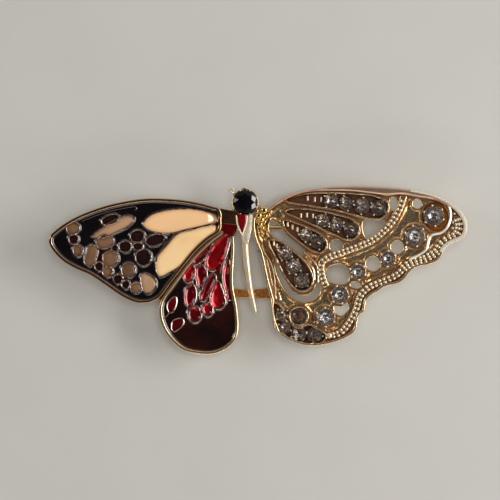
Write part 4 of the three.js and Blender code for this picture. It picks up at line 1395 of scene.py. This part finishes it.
def band_ribs(shape, loops, half_width, pitch, spread, size, level):
    """Beads side by side across a band, evenly spaced along its middle: three near the wing tip, or two."""
    placed = []
    curves = [smooth_loop(loop, 0.1) for loop in loops]
    for curve in curves:
        middle_line = shifted(curve, -half_width)
        outward = middle_line - curve
        good = inside(middle_line, curves) & (from_edge(middle_line, curves) > CLEAR_SHARE * half_width)
        for place, out in zip(middle_line[good], outward[good]):
            if all(np.linalg.norm(place - other) >= pitch for other in placed):
                placed.append(place)
                for share in TRIPLE if place[0] > WIDE_BAND_X else PAIR:
                    x, y = place + share * spread * out / np.linalg.norm(out)
                    ball(shape, x, y, level, size, tall=0.9)
    return len(placed)


def scattered(loops, pitch, margin):
    """Places in close rows over the area between the outlines."""
    curves = [smooth_loop(loop, 0.16) for loop in loops]
    edge = np.concatenate(curves)
    grid = triangle_grid(edge.min(0), edge.max(0), pitch)
    grid = grid[inside(grid, curves)]
    return grid[from_edge(grid, curves) > margin]


beads = Shape()
bands = plateau("right_wing", RIGHT, NET["band"])
ribs = band_ribs(beads, bands, half_width=0.53, pitch=0.72, spread=0.29, size=0.28, level=1.62)
for x, y in scattered(plateau("right_wing", RIGHT, NET["base"]), pitch=0.56, margin=0.2):
    if x > WING_TIP_X:
        ball(beads, x, y, TIP_BEAD_LEVEL, TIP_BEAD_RADIUS)
ball(beads, *TAIL_BEAD, radius=0.5, tall=0.7)
print("ribs on the bands:", ribs)
lay("band_beads", beads, RIGHT, [BRIGHT_GOLD], ())

# %% [markdown]
# The rows of stones end where a finger gets too narrow for them. Three short bars of grains fill each
# narrow end. A bar is three balls that run into each other.

# %% Grains in the narrow ends of the fingers
FINGER_BARS = (
    (10.7, 6.95), (11.9, 6.75), (12.95, 6.75), (9.6, 4.05), (10.6, 4.15), (11.6, 4.0),
    (7.4, 2.65), (8.2, 2.2), (9.0, 1.75), (5.1, -0.55), (5.6, -1.0), (6.0, -1.5),
)
BAR_STEPS = (-0.24, 0.0, 0.24)
BAR_LEVEL, BAR_RADIUS = 1.05, 0.2
finger_grains = Shape()
for x, y in FINGER_BARS:
    for step in BAR_STEPS:
        ball(finger_grains, x, y + step, BAR_LEVEL, BAR_RADIUS)
lay("finger_grains", finger_grains, RIGHT, [BRIGHT_GOLD], ())

# %% [markdown]
# ## Body, head and antennae
#
# These and the parts of the pin back are small cast and soldered forms with soft edges. A bevel would need
# every edge picked out. A voxel remesh turns a hard CAD solid into an even skin, and a few rounds of
# smoothing round its edges off, which suits a casting better. The pin stem rides on the hinge's moving
# body, and the sleeve on the catch's.

# %% Softened castings
def softened(name, node_name, voxel, rounds, material, slot, body):
    """A copy of a CAD node with an even skin and rounded edges, modelled at bench size for the remesh."""
    points, faces = welded(node_name, BODY)
    mesh = bpy.data.meshes.new(name)
    mesh.from_pydata([tuple(p) for p in points], [], faces)
    made = bpy.data.objects.new(name, mesh)
    scene.collection.objects.link(made)
    remesh = made.modifiers.new("even_skin", "REMESH")
    remesh.mode = "VOXEL"
    remesh.voxel_size = voxel
    round_off = made.modifiers.new("round_off", "SMOOTH")
    round_off.factor = 0.5
    round_off.iterations = rounds
    graph = bpy.context.evaluated_depsgraph_get()
    done = bpy.data.meshes.new_from_object(made.evaluated_get(graph))
    made.modifiers.clear()
    made.data = done
    done.transform(Matrix.Scale(MM, 4) @ BODY)
    done.materials.clear()
    done.materials.append(material)
    done.shade_smooth()
    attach(made, body)
    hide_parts(node_name)
    print(f"{name}: {len(done.vertices)} points")


CASTINGS = (
    # name, CAD solid, voxel in mm, rounds of smoothing, material, slot, body
    ("cast_body", "body", 0.07, 4, BRIGHT_GOLD, "yellow_gold", "brooch"),
    # the cross tie lies behind the wing, and its orange gold is a painted reflection
    ("cast_cross_tie", "cross_tie", 0.07, 4, AMBER_REFLECTION_GOLD, "yellow_gold", "brooch"),
    ("curled_antenna", "antenna_left", 0.04, 3, BRIGHT_GOLD, "yellow_gold", "brooch"),
    ("short_antenna", "antenna_right", 0.04, 3, BRIGHT_GOLD, "yellow_gold", "brooch"),
    ("head_claw_cup", "head_cup", 0.06, 3, YELLOW_GOLD, "yellow_gold", "brooch"),
    ("hinge_ears", "hinge_bracket", 0.06, 2, YELLOW_GOLD, "yellow_gold", "brooch"),
    ("hinge_rivet_soft", "hinge_rivet", 0.05, 2, PALE_GOLD, "pale_gold", "brooch"),
    ("pin_stem_drawn", "pin_stem", 0.06, 3, PALE_GOLD, "pale_gold", "stem"),
    ("catch_housing", "catch", 0.06, 2, YELLOW_GOLD, "yellow_gold", "brooch"),
    ("catch_sleeve_turned", "catch_sleeve", 0.05, 2, PALE_GOLD, "pale_gold", "sleeve"),
)
for casting in CASTINGS:
    softened(*casting)

# %% [markdown]
# A long red drop sits in the middle of the thorax, between two fine wires. The CAD's drop is plain. This
# one has its own outline, which draws in to a point over the abdomen. To its left, a dark red web of enamel
# on gilt joins the hindwing's root to the thorax, a dark sheet that partly paints the shade there, so that
# the wing doesn't seem to float.

# %% The red drop and the root web
DROP_EDGE = ((0.42, 4.3), (-1.22, 4.3), (-1.12, 3.0), (-0.78, 1.9), (-0.34, 0.95), (0.04, 1.9), (0.34, 3.0))
drop = Shape()
relief(drop, [np.array(DROP_EDGE)], 1.9, dome(2.56, rise=0.2, width=0.5), 0.15)
lay("thorax_drop", drop, BODY, [RED], ["red_thorax_drop"])

ROOT_WEB = ((-1.25, 3.0), (-3.3, 3.0), (-3.75, 1.9), (-3.6, 0.7), (-2.6, 0.9), (-1.9, 0.4), (-1.35, 1.4))
WEB_EDGE = [np.array(ROOT_WEB)]
web = Shape()
relief(web, WEB_EDGE, 1.1, crown(1.4, 0.1), 0.3, grow=0.08, slot=1)
relief(web, WEB_EDGE, 1.3, dome(1.85, rise=0.15, width=0.5), 0.15)
lay("root_web_and_shade", web, BODY, [CRIMSON, YELLOW_GOLD], ())

# %% [markdown]
# The thorax has a broad ridge on its right, in a cream gold that paints its highlight. On its left, four
# ridges in the darker dusky gold, a painted shade, run across to the root of the forewing, close together
# like the folds of a cuff. Each is a squashed wire through three places.

# %% Ridges on the thorax and at the wing root
DROP_WIRES = (
    (((0.54, 4.1), (0.44, 2.9), (0.12, 1.8), (-0.3, 0.75)), 2.48),
    (((-1.3, 4.1), (-1.2, 2.9), (-0.84, 1.8), (-0.3, 0.75)), 2.42),
)
BROAD_RIDGE = ((1.1, 4.2), (1.0, 2.4), (0.6, 0.1))
ROOT_RIDGES = (
    # heights up the thorax at the wing root, between, and at the thorax, and the ridge's radius
    (5.0, 4.75, 4.5, 0.3),
    (4.35, 4.1, 3.9, 0.42),
    (3.55, 3.4, 3.25, 0.42),
    (2.95, 2.9, 2.75, 0.28),
)
ROOT_X = (-3.95, -2.6, -1.0)
ROOT_LEVELS = (2.0, 2.12, 2.05)
trim = Shape()
wire(trim, at_level(*DROP_WIRES[0]), radius=0.11)
wire(trim, at_level(BROAD_RIDGE, 2.4), radius=0.34, tall=0.8, slot=2)
wire(trim, at_level(*DROP_WIRES[1]), radius=0.11)
for *heights, size in ROOT_RIDGES:
    wire(trim, list(zip(ROOT_X, heights, ROOT_LEVELS)), size, tall=0.8, slot=1)
lay("thorax_ridges", trim, BODY, [BRIGHT_GOLD, SHADE_DUSKY_GOLD, HIGHLIGHT_CREAM_GOLD], ())

# %% [markdown]
# Beside the head, the right wing is soldered on under a lump of melted grains, and two thin wires twist
# down from it. The grains are of many sizes, so each is listed on its own. The twist is a pair of waves, half
# a turn apart.

# %% The knob beside the head
KNOB_GRAINS = (
    (2.2, 4.8, 0.45), (2.9, 5.3, 0.4), (3.5, 4.95, 0.66), (4.5, 4.7, 0.42),
    (2.6, 4.1, 0.6), (3.7, 4.0, 0.42), (4.2, 4.2, 0.34), (3.05, 3.4, 0.5),
    (2.3, 3.3, 0.34), (3.5, 3.0, 0.36), (2.8, 2.6, 0.44), (3.2, 2.0, 0.34),
)
KNOB_LEVEL = 1.62
TWIST_START = (2.35, 3.4, 1.65)
TWIST_STEP = (0.09, -0.36)
TWIST_POINTS, TWIST_TURN = 9, 1.3
TWIST_WIDTH, TWIST_HEIGHT = 0.22, 0.12


def twisted_point(k, side):
    x, y, z = TWIST_START
    angle = k * TWIST_TURN
    x += TWIST_STEP[0] * k + side * TWIST_WIDTH * math.sin(angle)
    return x, y + TWIST_STEP[1] * k, z + side * TWIST_HEIGHT * math.cos(angle)


knob = Shape()
for x, y, size in KNOB_GRAINS:
    ball(knob, x, y, KNOB_LEVEL, size, tall=0.8)
for side in (-1, 1):
    wire(knob, [twisted_point(k, side) for k in range(TWIST_POINTS)], radius=0.16)
lay("twisted_knob", knob, RIGHT, [RICH_GOLD], ())

# %% [markdown]
# The head is a cut black stone in a cup of eight claws. It is the clear stones' cut with a flatter crown,
# because black glass shows only the faces that mirror something. It is turned a little, as the real one was
# set.

# %% The head stone and its claws
HEAD_GIRDLE, HEAD_TURN = 2.05, math.radians(22)
CLAWS, CLAW_GAP, CLAW_TURN = 8, 0.08, 0.39
CLAW_LEVEL, CLAW_RADIUS, CLAW_TALL = 2.1, 0.15, 1.4
low, high = box_mm("head_stone")
head_radius = (high.y - low.y) / 2
head_place = BODY.inverted() @ head
head_centre = (head_place.x, head_place.y, HEAD_GIRDLE)
jet = Shape()
brilliant(jet, head_centre, head_radius, table=0.58, rise=0.24, depth=0.44, turn=HEAD_TURN)
lay("head_stone_cut", jet, BODY, [JET, JET], ["head_stone"], smooth=0)

claws = Shape()
for x, y in around(head_place.x, head_place.y, head_radius + CLAW_GAP, CLAWS, CLAW_TURN):
    ball(claws, x, y, CLAW_LEVEL, CLAW_RADIUS, CLAW_TALL)
lay("head_claws", claws, BODY, [BRIGHT_GOLD], ())

# %% [markdown]
# ## Sizes
#
# The box of the finished pieces is written beside the CAD box, to show that the looks didn't change the
# size.

# %% Finish
low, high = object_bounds()
boxes = {"cad": [list(cad_low), list(cad_high)], "visual": [list(low), list(high)]}
for label, (a, b) in boxes.items():
    print(label, "mm:", [round((y - x) / MM, 2) for x, y in zip(a, b)])
